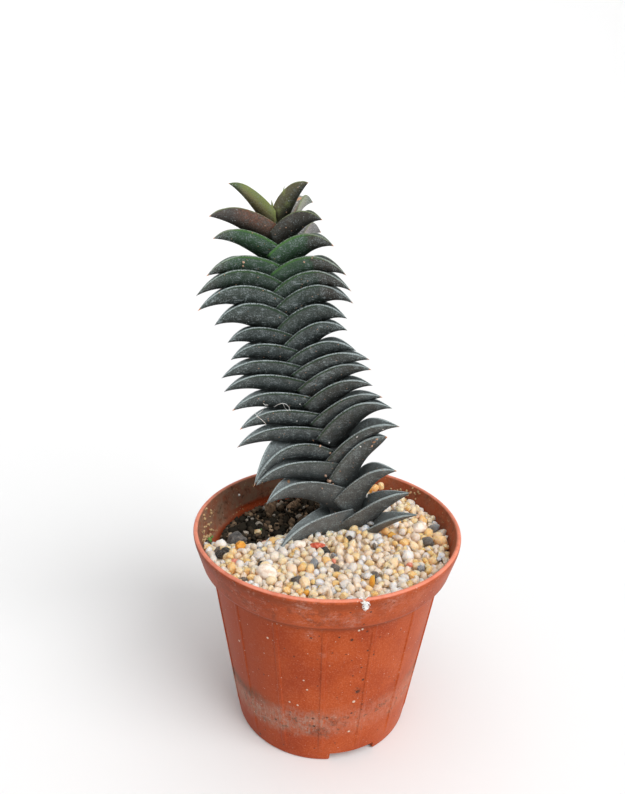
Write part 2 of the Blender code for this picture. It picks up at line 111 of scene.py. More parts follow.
def add_lamp(name, way, spread, strength):
    """A far lamp in a direction, wide enough for soft shadows."""
    lamp = bpy.data.lights.new(name, "SUN")
    lamp.angle = math.radians(spread)
    lamp.energy = strength
    made = bpy.data.objects.new(name, lamp)
    made.rotation_euler = Vector(way).to_track_quat("Z", "Y").to_euler()
    bpy.context.scene.collection.objects.link(made)


for lamp_values in LAMPS:
    add_lamp(*lamp_values)

sky = bpy.data.worlds.new("sky")
sky.use_nodes = True
sky.node_tree.nodes["Background"].inputs["Color"].default_value = (1.0, 1.0, 1.0, 1.0)
sky.node_tree.nodes["Background"].inputs["Strength"].default_value = SKY_STRENGTH
bpy.context.scene.world = sky

# The floor is a plain pale sheet that curves up into a slope far out on every side, so no horizon shows.
# The helpers for meshes and for shader maths start here, because it is the first piece that needs them.


def math_node(operation):
    """A method that feeds the number and another one to a Math node."""
    return lambda self, other: self.math(operation, self, other)


class Flow:
    """A socket that carries a number. Arithmetic on it adds Math nodes."""

    __add__ = __radd__ = math_node("ADD")
    __sub__ = math_node("SUBTRACT")
    __mul__ = __rmul__ = math_node("MULTIPLY")
    __truediv__ = math_node("DIVIDE")
    __pow__ = math_node("POWER")
    max = math_node("MAXIMUM")
    min = math_node("MINIMUM")
    below = math_node("LESS_THAN")

    def __init__(self, paint, socket):
        self.paint = paint
        self.socket = socket

    def math(self, operation, *values):
        return self.paint.node("ShaderNodeMath", dict(enumerate(values)), operation=operation)

    def __rsub__(self, other):
        return self.math("SUBTRACT", other, self)

    def abs(self):
        return self.math("ABSOLUTE", self)

    def within(self, low, high):
        """0 below low and 1 above high, with a soft step between; low above high turns it round."""
        values = {0: self, 1: low, 2: high}
        return self.paint.node("ShaderNodeMapRange", values, interpolation_type="SMOOTHSTEP")


class Paint:
    """One material: a Principled shader with fixed values, and the nodes that feed it. The sizes that
    its methods take, and the places along its axes, are in millimetres."""

    def __init__(self, name, **fixed):
        self.material = bpy.data.materials.new(name)
        self.material.use_nodes = True
        self.tree = self.material.node_tree
        self.shader = self.tree.nodes["Principled BSDF"]
        for socket, value in fixed.items():
            self.shader.inputs[socket.replace("_", " ")].default_value = value

    def put(self, socket, value):
        """A value or a link into a socket."""
        if isinstance(value, Flow):
            self.tree.links.new(value.socket, socket)
        elif isinstance(value, (tuple, list)) and len(value) == 3 and socket.type == "RGBA":
            socket.default_value = (*value, 1.0)
        else:
            socket.default_value = value

    def node(self, kind, values=None, output=0, stops=None, **settings):
        """A node of a type: its settings first, then its sockets by name or number."""
        made = self.tree.nodes.new(kind)
        for name, value in settings.items():
            setattr(made, name, value)
        if stops:
            ramp = made.color_ramp
            while len(ramp.elements) < len(stops):
                ramp.elements.new(0.5)
            for element, (place, colour) in zip(ramp.elements, stops):
                element.position = place
                element.color = (*colour, 1.0)
        for socket, value in (values or {}).items():
            self.put(made.inputs[socket], value)
        return Flow(self, made.outputs[output])

    @cached_property
    def place(self):
        return self.node("ShaderNodeTexCoord", output="Object")

    def axis(self, letter):
        return self.node("ShaderNodeSeparateXYZ", {0: self.place}, letter) / MM

    def noise(self, size, detail=3.0, rough=0.55, at=None):
        """Noise about 0.5 whose largest blobs are about size across."""
        values = {"Vector": at or self.place, "Scale": 1 / (size * MM), "Detail": detail, "Roughness": rough}
        return self.node("ShaderNodeTexNoise", values)

    def streaks(self, scale, detail, rough):
        """Noise with so many blobs in a metre along X, Y and Z."""
        at = self.node("ShaderNodeMapping", {"Vector": self.place, "Scale": scale})
        return self.noise(1 / MM, detail, rough, at)

    def dots(self, pitch, output="Distance"):
        """The distance to the nearest of scattered points, in units of their pitch."""
        values = {"Vector": self.place, "Scale": 1 / (pitch * MM)}
        return self.node("ShaderNodeTexVoronoi", values, output)

    def cells(self, pitch):
        """A random number for each cell of scattered points."""
        return self.node("ShaderNodeSeparateColor", {0: self.dots(pitch, "Color")})

    def flecks(self, pitch, fade, chosen):
        """Soft round flecks on some of the scattered points: how far from its point each fades, in
        pitches, and from which random numbers on a point has one."""
        return self.dots(pitch).within(*fade) * self.cells(pitch).within(*chosen)

    def attribute(self, name):
        return self.node("ShaderNodeAttribute", output="Fac", attribute_name=name)

    def ramp(self, value, *stops, step=False):
        """A colour for each value, by stops of (value, colour)."""
        made = self.node("ShaderNodeValToRGB", {0: value}, stops=stops)
        if step:
            made.socket.node.color_ramp.interpolation = "CONSTANT"
        return made

    def mix(self, share, first, second, blend="MIX"):
        """Two colours mixed by a share."""
        values = {0: share, 6: first, 7: second}
        return self.node("ShaderNodeMix", values, 2, data_type="RGBA", blend_type=blend)

    def tinted(self, colour, tint):
        """A colour times a tint."""
        return self.mix(1.0, colour, tint, "MULTIPLY")

    def cover(self, colour, *layers):
        """A colour under layers of (share, colour), laid on one after the other."""
        for share, layer in layers:
            colour = self.mix(share, colour, layer)
        return colour

    def colour(self, value):
        self.put(self.shader.inputs["Base Color"], value)

    def roughness(self, value):
        self.put(self.shader.inputs["Roughness"], value)

    def relief(self, height, depth):
        """A bump of a height field from 0 to 1 that is so deep."""
        values = {"Height": height, "Distance": depth * MM, "Strength": 1.0}
        self.put(self.shader.inputs["Normal"], self.node("ShaderNodeBump", values))


def turns(count):
    """Evenly spaced angles of a full turn."""
    return np.arange(count) * math.tau / count


def circle(count):
    """Points on a unit circle about Z."""
    return np.stack([np.cos(turns(count)), np.sin(turns(count)), np.zeros(count)], -1)


def net_faces(rows, columns):
    """Quads over a net of rows x columns points, whose last column is joined to its first."""
    across = np.arange(columns)
    start = np.arange(rows - 1)[:, None] * columns
    a, b = start + across, start + (across + 1) % columns
    return np.stack([a, b, b + columns, a + columns], -1).reshape(-1, 4)


def fan_faces(ring, tip):
    """Triangles from a ring of points to a tip."""
    return np.stack([ring, np.roll(ring, -1), np.full(len(ring), tip)], -1)


def closed_faces(rows, columns, flip=False):
    """Faces of a net with a point more at each end, the first row's and then the last row's. flip
    turns them round, for a net whose rows run the other way."""
    ring, ends = np.arange(columns), rows * columns
    first, last = fan_faces(ring, ends)[:, ::-1], fan_faces(ring + ends - columns, ends + 1)
    faces = [net_faces(rows, columns), first, last]
    return [part[:, ::-1] for part in faces] if flip else faces


def make_mesh(name, points, faces, attributes=None):
    """An object of points and faces, with smooth shading and one number a point for each attribute."""
    mesh = bpy.data.meshes.new(name)
    loops = [row for part in faces for row in np.asarray(part).tolist()]
    mesh.from_pydata(np.asarray(points, float).reshape(-1, 3).tolist(), [], loops)
    for label, values in (attributes or {}).items():
        layer = mesh.attributes.new(label, "FLOAT", "POINT")
        layer.data.foreach_set("value", np.asarray(values, np.float32).ravel())
    mesh.shade_smooth()
    made = bpy.data.objects.new(name, mesh)
    bpy.context.scene.collection.objects.link(made)
    return made


def finish_piece(piece, paint, slot, *nodes):
    """The piece takes its material, rides on the only body, and stands for its solids."""
    piece.data.materials.append(paint.material)
    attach(piece, "root")
    if nodes:
        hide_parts(*nodes)
    return piece


FLOOR_INNER_RING = 0.3
FLOOR_FLAT = 0.9
FLOOR_CURVE = 1.6
FLOOR_CURVE_RINGS = 13
FLOOR_RISE = math.radians(38)
FLOOR_SLOPE = 0.9
FLOOR_SIDES = 96
FLOOR_GREY = (0.82, 0.82, 0.82)


def make_floor():
    """A flat disc whose edge curves up into a low slope all round."""
    bend = np.linspace(0, FLOOR_RISE, FLOOR_CURVE_RINGS)
    out = np.append(FLOOR_INNER_RING, FLOOR_FLAT + FLOOR_CURVE * np.sin(bend))
    up = np.append(0.0, FLOOR_CURVE * (1 - np.cos(bend)))
    out = np.append(out, out[-1] + FLOOR_SLOPE * math.cos(FLOOR_RISE))
    up = np.append(up, up[-1] + FLOOR_SLOPE * math.sin(FLOOR_RISE))
    net = circle(FLOOR_SIDES) * out[:, None, None] + up[:, None, None] * np.array([0.0, 0.0, 1.0])
    points = np.append(net.reshape(-1, 3), [(0.0, 0.0, 0.0)], 0)
    faces = [net_faces(len(out), FLOOR_SIDES)[:, ::-1], fan_faces(np.arange(FLOOR_SIDES), len(points) - 1)]
    return make_mesh("floor", points, faces)


floor = make_floor()
floor_paint = Paint("floor", Roughness=0.9, Specular_IOR_Level=0.1)
floor_paint.colour(FLOOR_GREY)
floor.data.materials.append(floor_paint.material)

# The pot is one thin shell of moulded terracotta-coloured plastic: a tapered body with upright ribs,
# a wider collar, a rounded lip, and a foot ring with three notches round a raised floor with holes.

RIM_RADIUS = 30.0 * MM
POT_HEIGHT = 48.6 * MM
FOOT_RADIUS = 20.4 * MM
BODY_TOP_RADIUS = 26.1 * MM
BODY_TOP = 39.6 * MM
FLOOR_TOP = 3.1 * MM
FLOOR_UNDERSIDE = 2.1 * MM
RIB_COUNT = 16
RIB_FIRST = math.radians(-91)
RIB_HALF = 0.55 * MM
RIB_PROUD = 0.22 * MM
NOTCH_COUNT = 3
NOTCH_HALF = math.radians(14.6)
NOTCH_FIRST = math.radians(-70.6)
NOTCH_ROUNDING = 0.8 * MM
DRAIN_RADIUS = 2.4 * MM
DRAIN_CIRCLE = 12.5 * MM
DRAIN_COUNT = 4
DRAIN_FIRST = math.radians(15)
DRILL_SIDES = 48
POT_SIDES = 192
POT_STEP = 2.5 * MM
# Of two steps closer together than this angle, in radians, one is left out
CLOSEST_STEPS = 0.0004

# (radius, height, size of the rounding at that corner), up the inside, over the lip and down
POT_CORNERS = (
    (0.0, 3.1, 0.0), (19.2, 3.1, 0.0), (20.0, 3.3, 0.5), (25.2, 39.8, 0.5), (27.3, 41.6, 0.5),
    (29.0, 48.3, 0.2), (29.25, 48.6, 0.15), (29.7, 48.6, 0.22), (30.0, 48.2, 0.2), (29.9, 47.2, 0.5),
    (28.25, 41.4, 0.35), (27.6, 40.55, 0.3), (26.5, 39.9, 0.3), (26.1, 39.1, 0.4), (20.7, 2.1, 0.5),
    (20.4, 0.0, 0.5), (19.5, 0.0, 0.15), (19.7, 2.1, 0.2), (0.0, 2.1, 0.0),
)


def rounded_profile(corners, pieces=4):
    """Each corner becomes a quadratic curve that starts and ends its rounding's length away, and long
    straights between two corners get points along them."""
    corners = np.array(corners)
    places = corners[:, :2] * MM
    found = [places[0]]
    share = np.linspace(0, 1, pieces + 1)[:, None]
    for before, here, after, size in zip(places, places[1:], places[2:], corners[1:, 2] * MM):
        if size == 0:
            found.append(here)
            continue
        back = here + (before - here) / np.linalg.norm(before - here) * size
        on = here + (after - here) / np.linalg.norm(after - here) * size
        found.extend(back * (1 - share) ** 2 + 2 * here * share * (1 - share) + on * share**2)
    found.append(places[-1])
    filled = [found[0]]
    for before, here in zip(found, found[1:]):
        steps = max(1, round(np.linalg.norm(here - before) / POT_STEP))
        filled.extend(before + (here - before) * k / steps for k in range(1, steps + 1))
    return np.array(filled)


def pot_angles():
    """Even steps, with more of them at each rib's sides and at each notch's ends."""
    rib_reach = 1.25 * RIB_HALF / (0.8 * RIM_RADIUS)
    over_rib = np.array([-1.0, -0.75, -0.5, -0.2, 0.2, 0.5, 0.75, 1.0]) * rib_reach
    past_end = np.array([-0.06, 0.02, 0.06, 0.15, 0.3, 0.55, 0.8, 1.05]) * NOTCH_ROUNDING / FOOT_RADIUS
    notch_ends = np.concatenate([-NOTCH_HALF - past_end, NOTCH_HALF + past_end])
    ribs = RIB_FIRST + turns(RIB_COUNT)[:, None] + over_rib
    notches = NOTCH_FIRST + turns(NOTCH_COUNT)[:, None] + notch_ends
    found = np.sort(np.mod(np.concatenate([turns(POT_SIDES), ribs.ravel(), notches.ravel()]), math.tau))
    return found[np.diff(found, append=found[0] + math.tau) > CLOSEST_STEPS]


def nearest_turn(angle, first, count):
    """How far an angle is from the nearest of count evenly spaced angles."""
    step = math.tau / count
    return np.abs(np.mod(angle - first + step / 2, step) - step / 2)


def pot_net(profile, angles):
    """The profile turned about Z. Ribs add to the body's outer radius, as a flat with soft sides, and
    the foot ring's underside is lifted to the floor's in each notch, whose lower corners are round."""
    radius = profile[:, 0][:, None] + np.zeros_like(angles)
    height = profile[:, 1][:, None] + np.zeros_like(angles)
    outer = np.arange(len(profile)) >= np.argmax(profile[:, 0])
    low, high = 2.6 * MM, BODY_TOP - 0.6 * MM
    reach = np.clip((height - low) / (0.8 * MM), 0, 1) * np.clip((high - height) / (1.2 * MM), 0, 1)
    side = nearest_turn(angles, RIB_FIRST, RIB_COUNT)[None, :] * radius / RIB_HALF
    rib = 1 - np.clip((side - 0.62) / 0.38, 0, 1)
    radius = radius + RIB_PROUD * rib * rib * (3 - 2 * rib) * reach * outer[:, None]
    past = nearest_turn(angles, NOTCH_FIRST, NOTCH_COUNT) - NOTCH_HALF
    foot = outer[:, None] & (height < FLOOR_UNDERSIDE)
    near = np.clip(1 - past * FOOT_RADIUS / NOTCH_ROUNDING, 0, 1)
    height = np.where(foot, np.maximum(height, NOTCH_ROUNDING * (1 - np.sqrt(1 - near**2))), height)
    height = np.where(foot & (past < 0), FLOOR_UNDERSIDE - 0.05 * MM + 0.02 * height, height)
    return np.stack([radius * np.cos(angles), radius * np.sin(angles), height], -1)


def make_pot():
    """The net, closed at both of its ends on the axis."""
    net = pot_net(rounded_profile(POT_CORNERS)[1:-1], pot_angles())
    points = np.concatenate([net.reshape(-1, 3), [(0, 0, FLOOR_TOP), (0, 0, FLOOR_UNDERSIDE)]])
    return make_mesh("flower_pot", points, closed_faces(*net.shape[:2]))


def make_drill(number):
    """A cylinder through the floor: the last stands in the middle, the others on a circle."""
    angle = DRAIN_FIRST + number * math.tau / DRAIN_COUNT
    out = DRAIN_CIRCLE if number < DRAIN_COUNT else 0.0
    middle = np.array([out * math.cos(angle), out * math.sin(angle), 0.0])
    heights = np.array([(0, 0, FLOOR_UNDERSIDE - MM), (0, 0, FLOOR_TOP + MM)])
    points = middle + circle(DRILL_SIDES) * DRAIN_RADIUS + heights[:, None]
    ring = np.arange(DRILL_SIDES)
    faces = [net_faces(2, DRILL_SIDES), [ring[::-1]], [ring + DRILL_SIDES]]
    return make_mesh(f"drill_{number}", points, faces)


def drill(piece, cutters):
    """Cuts each cutter out of the piece and removes it."""
    for cutter in cutters:
        cut = piece.modifiers.new("drain", "BOOLEAN")
        cut.operation = "DIFFERENCE"
        cut.object = cutter
    graph = bpy.context.evaluated_depsgraph_get()
    piece.data = bpy.data.meshes.new_from_object(piece.evaluated_get(graph))
    piece.modifiers.clear()
    for cutter in cutters:
        bpy.data.objects.remove(cutter)


# Marks on the outside: (angle in degrees, height, radius), the last two in millimetres. Smears and
# smudges have a strength besides.
CHALK_SMEARS = ((-100, 46.6, 3.4, 0.8), (-89, 44.0, 3.0, 0.7), (-81, 43.0, 3.2, 1.0), (-76, 45.0, 2.4, 0.7),
                (-65, 46.6, 4.0, 0.7), (-122, 43.0, 3.6, 0.5), (-97, 37.4, 2.2, 0.7), (-52, 45.0, 3.4, 0.5),
                (-60, 39.6, 3.2, 0.4), (-92, 32.5, 1.6, 0.4), (40, 44.0, 4.0, 0.7), (95, 43.5, 5.0, 0.7),
                (150, 45.0, 4.0, 0.6), (120, 30.0, 3.5, 0.4), (65, 24.0, 3.0, 0.4))
DIRT_SPECKS = ((-78.8, 36.3, 0.45), (-70.7, 24.3, 0.42), (-72.6, 21.0, 0.7), (-96.9, 36.8, 0.34),
               (-133.0, 1.6, 0.45), (-95.6, 13.4, 0.42), (-88.0, 13.9, 0.36), (-72.0, 38.0, 0.34),
               (-95.0, 11.0, 0.42), (-84.5, 37.2, 0.3), (-67.0, 31.0, 0.34), (-72.4, 28.0, 0.3),
               (-70.4, 32.6, 0.32), (-76.4, 26.0, 0.26), (-74.6, 14.6, 0.34), (-68.0, 34.6, 0.28),
               (-105.0, 31.0, 0.3), (-74.0, 45.2, 0.34), (-118.0, 10.0, 0.4), (-69.0, 17.0, 0.4),
               (60.0, 33.0, 0.5), (110.0, 20.0, 0.5), (170.0, 27.0, 0.5), (20.0, 15.0, 0.5))
DIRT_SMUDGES = ((-91.4, 9.5, 2.4, 0.9), (-83.8, 12.4, 2.2, 0.7), (-96.0, 8.6, 2.0, 0.6),
                (-73.0, 21.6, 1.5, 0.8), (-78.0, 11.4, 1.8, 0.6), (100.0, 12.0, 2.4, 0.7))
PALE_SPECKS = ((-138.8, 28.0, 0.34), (-98.8, 22.0, 0.26), (-74.1, 18.1, 0.4), (-76.0, 38.6, 0.3),
               (-74.5, 38.8, 0.3), (-74.8, 8.8, 0.34), (-100.5, 24.6, 0.24), (-104.0, 16.8, 0.28),
               (-108.5, 17.2, 0.28), (-118.0, 34.0, 0.3), (130.0, 30.0, 0.4), (80.0, 15.0, 0.4))


def wall_radius(height):
    """The pot's outer radius at a height in millimetres."""
    places = sorted((z, r) for r, z, _ in POT_CORNERS[8:16])
    return float(np.interp(height, *zip(*places)))


def spots(paint, marks, soft):
    """The strongest of soft discs on the pot's outside, at each mark's angle and height."""
    total = 0.0
    for angle, height, radius, *strength in marks:
        turn, out = math.radians(angle), wall_radius(height)
        centre = (out * math.cos(turn) * MM, out * math.sin(turn) * MM, height * MM)
        values = {0: paint.place, 1: centre}
        apart = paint.node("ShaderNodeVectorMath", values, "Value", operation="DISTANCE")
        disc = apart.within(radius * MM, radius * (1 - soft) * MM) * (strength or [1.0])[0]
        total = disc.max(total)
    return total


def pot_lime(paint, x, z, edge, patchy):
    """Lime in a tilted tide line low on the body, and the brown fringe above it and in it."""
    level = z - x * 0.09
    band = ((level - 11.9).abs() + edge * 6.0).within(8.6, 4.2)
    streaks = paint.streaks((1900.0, 1900.0, 420.0), 5, 0.8).within(0.44, 0.62)
    lime = band * (patchy * 0.55 + streaks * 0.5 + 0.04)
    fringe = (level - 17.0 + edge * 3.0).abs().within(2.6, 0.0)
    fringe = fringe * x.within(-9, -18).max(x.within(16, 22) * 0.8)
    fringe = fringe.max(band * paint.noise(1.8, 5, 0.75).within(0.54, 0.64) * 0.75)
    return lime, fringe * (patchy * 0.6 + 0.4)


def pot_chalk(paint, z, smear_break):
    """White smears, and a haze that is thickest on the collar."""
    wisps = paint.streaks((600.0, 600.0, 1100.0), 6, 0.85).within(0.52, 0.60)
    smears = spots(paint, CHALK_SMEARS, 0.9) * (smear_break * 0.45 + wisps * 0.75)
    return smears.max(paint.noise(6, 4, 0.7).within(0.44, 0.66) * wisps * (z.within(41, 42) * 0.5 + 0.12))


def pot_grime_and_shade(paint, x, z):
    """Dirt on the collar, heavier at the left as painted shade, and painted shadows in the corner under
    the collar and under the lip.
    """
    # Collar dirt, with painted shade that makes it heavier towards the left
    grime_and_shade = paint.noise(2.4, 5, 0.75).within(0.46, 0.60) * z.within(41, 42) * (x.within(16, -4) * 0.7 + 0.3)
    # Painted shadow in the corner under the collar
    grime_and_shade = grime_and_shade.max(z.within(38.2, 39.6) * z.within(41.2, 40.4) * 0.9)
    # Painted shadow under the lip, stronger at the left
    return grime_and_shade.max(z.within(45.4, 47.0) * z.within(48.0, 47.7) * (x.within(18, 2) * 0.7 + 0.2))


def pot_specks(paint, x, smear_break):
    """Dark specks, more of them in a zone at the right, dark smudges, and pale specks and scratches."""
    crowded = x.within(2, 6) * x.within(15, 11)
    specks = paint.dots(1.4).within(0.19, 0.09) * (paint.cells(1.4) + crowded * 0.12).within(0.80, 0.84)
    dark = (spots(paint, DIRT_SPECKS, 0.5) * (smear_break * 0.4 + 0.8)).max(specks * 0.85)
    scratches = paint.streaks((2600.0, 2600.0, 1700.0), 3, 0.6).within(0.68, 0.72)
    pale = spots(paint, PALE_SPECKS, 0.4).max(paint.flecks(0.9, (0.19, 0.07), (0.82, 0.92)) * 0.7)
    pale = pale.max(scratches * paint.noise(5, 2).within(0.42, 0.6) * 0.55)
    return dark.max(spots(paint, DIRT_SMUDGES, 1.0) * smear_break), pale


def inner_layers(paint, x, z, inside, edge):
    """Dirt on the inner wall: dust and stains above the grit, sand, and soil below. The dust and stains
    are heaviest at the left, partly as painted shade.
    """
    reached = z.within(42, 43).max(x.within(-21, -25))
    # Partly painted shade: the dust and stains grow heavier towards the left
    left_wall = inside * (x.within(14, -4) * 0.45 + 0.55)
    dusty = paint.noise(3.2, 5, 0.7).within(0.36, 0.62) * reached
    stain = paint.noise(2.2, 5, 0.75).within(0.52, 0.66) * reached
    sand = paint.dots(0.8).within(0.36, 0.2) * paint.noise(4.5, 3).within(0.5, 0.6)
    return (
        (left_wall * (dusty * 0.45 + reached * 0.4), (0.25, 0.17, 0.115)),
        (left_wall * stain * 0.7, (0.05, 0.03, 0.018)),
        (inside * sand * 0.6, (0.46, 0.31, 0.16)),
        (inside * (z + edge * 1.6).within(42.0, 41.1) * 0.92, (0.030, 0.020, 0.013)),
    )


def paint_pot():
    """Satin orange plastic, darkened at the left by painted shade, with lime, chalk, grime and specks
    on its outside and painted shadows under the collar and the lip, dirt on its inner wall, heavier at
    the left as partly painted shade, and a lip brightened by a painted highlight with some dust."""
    paint = Paint("terracotta_plastic", Roughness=0.5, Specular_IOR_Level=0.08)
    x, y, z = map(paint.axis, "XYZ")
    out = (x * x + y * y) ** 0.5
    wall = z * ((BODY_TOP_RADIUS - FOOT_RADIUS) / BODY_TOP) + FOOT_RADIUS / MM
    inside = (out - wall).within(-0.3, -0.7) * z.within(FLOOR_TOP / MM, FLOOR_TOP / MM + 1)
    collar_inside = (out - (z - 41.5) * 0.25 - 27.3).within(0.5, 0.2)
    inside = inside.max(collar_inside * z.within(40.6, 41.6))
    cloud, fine, edge = paint.noise(11, 4), paint.noise(0.35, 2), paint.noise(2.6, 5, 0.65)
    patchy = paint.noise(0.9, 6, 0.85).within(0.40, 0.60)
    smear_break = paint.noise(0.55, 6, 0.85).within(0.46, 0.58)
    lime, fringe = pot_lime(paint, x, z, edge, patchy)
    chalk = pot_chalk(paint, z, smear_break) * inside.below(0.5)
    grime_and_shade = pot_grime_and_shade(paint, x, z) * inside.below(0.5)
    dark, pale = pot_specks(paint, x, smear_break)
    # Painted highlight, with some dust: the top of the lip is made brighter
    lip = z.within(48.15, 48.45) * (edge.within(0.35, 0.6) * 0.25 + 0.55)
    plastic = paint.ramp(
        cloud, (0.34, (0.34, 0.050, 0.012)), (0.5, (0.41, 0.068, 0.015)), (0.66, (0.46, 0.085, 0.021))
    )
    paint.colour(paint.cover(
        plastic,
        (fine.within(0.48, 0.72) * 0.28, (0.58, 0.20, 0.11)),
        (fine.within(0.50, 0.30) * 0.35, (0.24, 0.036, 0.012)),
        # Painted shade: the whole left side of the pot is darkened, broken by the cloud
        (x.within(-3, -16) * (cloud * 0.7 + 0.15), (0.20, 0.026, 0.007)),
        # Dirt and painted shade: the collar darker at the left, painted shadows under the collar and the lip
        (grime_and_shade * 0.6, (0.17, 0.040, 0.016)),
        (chalk.min(1.0) * 0.5, (0.66, 0.42, 0.34)),
        (lime.min(0.9) * 0.66, paint.mix(x.within(-3, 6), (0.37, 0.30, 0.24), (0.52, 0.22, 0.145))),
        (fringe * 0.95, (0.075, 0.042, 0.022)),
        *inner_layers(paint, x, z, inside, edge),
        # Painted highlight on the lip
        (lip, (0.85, 0.30, 0.20)),
        (dark * 0.85, (0.06, 0.028, 0.018)),
        (pale * 0.85, (0.72, 0.60, 0.48)),
    ))
    paint.roughness(chalk * 0.35 + inside * 0.25 + fine * 0.22 + 0.30)
    paint.relief(fine * 0.25 + chalk * 0.4 + dark * 0.6 + pale * 0.8 + cloud * 0.4, 0.08)
    return paint


pot = make_pot()
drill(pot, [make_drill(number) for number in range(DRAIN_COUNT + 1)])
pot.data.set_sharp_from_angle(angle=math.radians(38))
finish_piece(pot, paint_pot(), "terracotta_plastic", "pot")

# The plant grew as one piece: a short leaning stem and 54 stiff leaves in three ranks. A leaf is a
# keeled trough with thin margins, which arches out, bends down again and ends in a dry point.

LEAN_MIDDLE = -3.9 * MM
LEAN_HALF = 9.2 * MM
LEAN_HEIGHT = 74.5 * MM
LEAN_SPAN = 23.0 * MM
STEM_DEPTH = 8.0 * MM
STEM_RADIUS = 3.0 * MM
STEM_BOTTOM = 22.0 * MM
STEM_TAPER_FROM = 104.0 * MM
STEM_TOP = 114.0 * MM
# The two youngest leaves are still rolled up: the pixels that show their tips, and how far back they
# stand
BUD_TIPS = ((271.5, 199.5), (284.5, 185.5))
BUD_DEPTH = 7.5 * MM
BUD_RADIUS = 0.7 * MM
BUD_ROOT = 2.0 * MM
MIX_LEVEL = 38.0 * MM
TOP_ROW_HEIGHT = 117.3 * MM
LEAF_ROWS = 19
ROW_STEP = ((1, 4.1), (4, 4.0), (6, 3.1), (8, 3.5), (11, 3.5), (14, 4.1), (16, 5.0), (17, 6.2), (17.8, 5.2),
            (18.6, 2.0), (19.6, 2.0))
LEFT_REACH = ((1, 8.5), (2, 13.6), (3, 13.6), (4, 16.0), (5, 18.4), (6, 18.6), (8, 13.8), (9, 14.5),
              (10, 17.5), (13, 18.5), (14, 20.0), (15, 19.0), (16, 20.0), (17, 19.7), (18, 20.0))
RIGHT_REACH = ((1, 8.7), (2, 11.6), (3, 14.2), (4, 16.2), (6, 16.8), (7, 15.0), (8, 14.3), (9, 15.6),
               (10, 17.8), (12, 16.6), (14, 19.3), (15, 20.5), (16, 17.3), (17, 17.4), (18, 20.0), (19, 22.0))
BACK_REACH = ((1, 11.8), (2, 14.0), (3, 13.8), (5, 17.6), (8, 14.6), (10, 18.0), (14, 19.8), (17, 18.0))
TIP_RISE = ((1, 5.8), (2, 2.9), (3, 2.6), (4, 0.0), (7, 0.6), (9, 0.6), (10, 1.8), (12, 2.7),
            (13.5, 3.6), (14, 4.4), (14.6, 3.0), (15, 0.2), (15.4, 3.2), (16, 5.4), (16.5, 6.8),
            (17, 5.4), (17.4, 5.4), (18, 3.0))
LEAF_TILT = ((1, 11), (3, 4), (6, 6), (8, 9), (11, 12), (13, 16), (14, 20), (15.5, 26), (16.5, 27), (17, 22),
             (18, 24))
YOUNG_LEAF_DEPTH = ((1, 1.28), (1.4, 1.15), (2, 1.0))
YOUNG_LEAF_BOW = ((1, 0.7), (2, 1.0))
# The power that says how near the tip a leaf stays deep: low in the first left leaf, which narrows
# evenly, and high in the stout sixteenth right one
LEAF_TAPER = ((1, 1.5), (1.4, 2.3), (16, 2.3), (16.45, 3.8), (16.9, 2.3))
# How far each side of a leaf drops at its tip, as slopes: the side in front, and the one behind in each
# rank, with its share of the width. The last line says which side is in front, in each rank.
NEAR_DROP = ((1, 0.0), (3, 0.08), (8, 0.16), (9, 0.28), (14, 0.32), (15, 0.5), (19, 0.6))
FAR_DROP = (
    ((1, 0.5), (2, 0.2), (4, 0.4), (12, 0.4), (14, 0.3), (15, -0.5), (16, -0.3), (17, 0.1), (18, 1.0)),
    ((1, 0.1), (4, 0.4), (8, 0.4), (14, 0.4), (15, 0.15), (17, 0.2), (18, 0.3)),
    ((1, 0.0),),
)
FAR_WIDTH = ((1, 0.9), (4, 0.7), (14, 0.7), (15, 1.0), (17, 0.95), (18, 0.8))
FRONT_SIDE = (1, -1, 0)
# How much narrower the youngest leaves and how much deeper the oldest are where they join the stem
LEAF_NECK = ((1, 0.2), (1.45, 0.35), (3, 0.0))
LEAF_HEEL = ((14, 0.0), (15, 0.3), (17, 0.55), (19, 0.3))
# Left, right and back rank: the azimuth by row, the reach by row, and how much later it comes in a row
RANKS = (
    (((1, 208), (16, 208), (18, 218)), LEFT_REACH, 0.0),
    (((1, 328), (18, 330)), RIGHT_REACH, 0.45),
    (((1, 48), (2, 52), (4, 84), (18, 90)), BACK_REACH, 1.1),
)
LEAF_WIDTH = 5.4 * MM
LEAF_DEPTH = 5.6 * MM
LEAF_THICKNESS = 2.0 * MM
MARGIN_THICKNESS = 0.5 * MM
LEAF_BOW = 2.6 * MM
TIP_DROOP = 1.2 * MM
LEAF_ROOT = 1.2 * MM
LEAF_STATIONS = 30
OUTER_POINTS = 19
INNER_POINTS = 13
KEEL_ROUNDING = 0.12
# Powers that shape a leaf: how its width and its depth shrink to the tip, and how its faces rise
WIDTH_POWERS = (1.25, 1.15)
DEPTH_POWER = 1.05
OUTER_POWER = 1.28
INNER_POWER = 1.2
# From where along the leaf its tip bends down, and how suddenly
DROOP_FROM = 0.55
DROOP_POWER = 1.6
SEED = 11


def by_knots(knots, row):
    """Straight lines between (row, value) pairs."""
    return float(np.interp(row, *zip(*knots)))


def stem_point(z):
    """The stem leans to the left in a smooth S."""
    x = LEAN_MIDDLE - LEAN_HALF * np.tanh((z - LEAN_HEIGHT) / LEAN_SPAN)
    return np.stack([x, STEM_DEPTH - 0.02 * (z - MIX_LEVEL), z + 0 * x], -1)


def row_height(row):
    """The height on the stem of a row: the mean step from the top row, times the rows."""
    rows = np.linspace(1, row, 40)
    return TOP_ROW_HEIGHT - (row - 1) * float(np.mean(np.interp(rows, *zip(*ROW_STEP)))) * MM


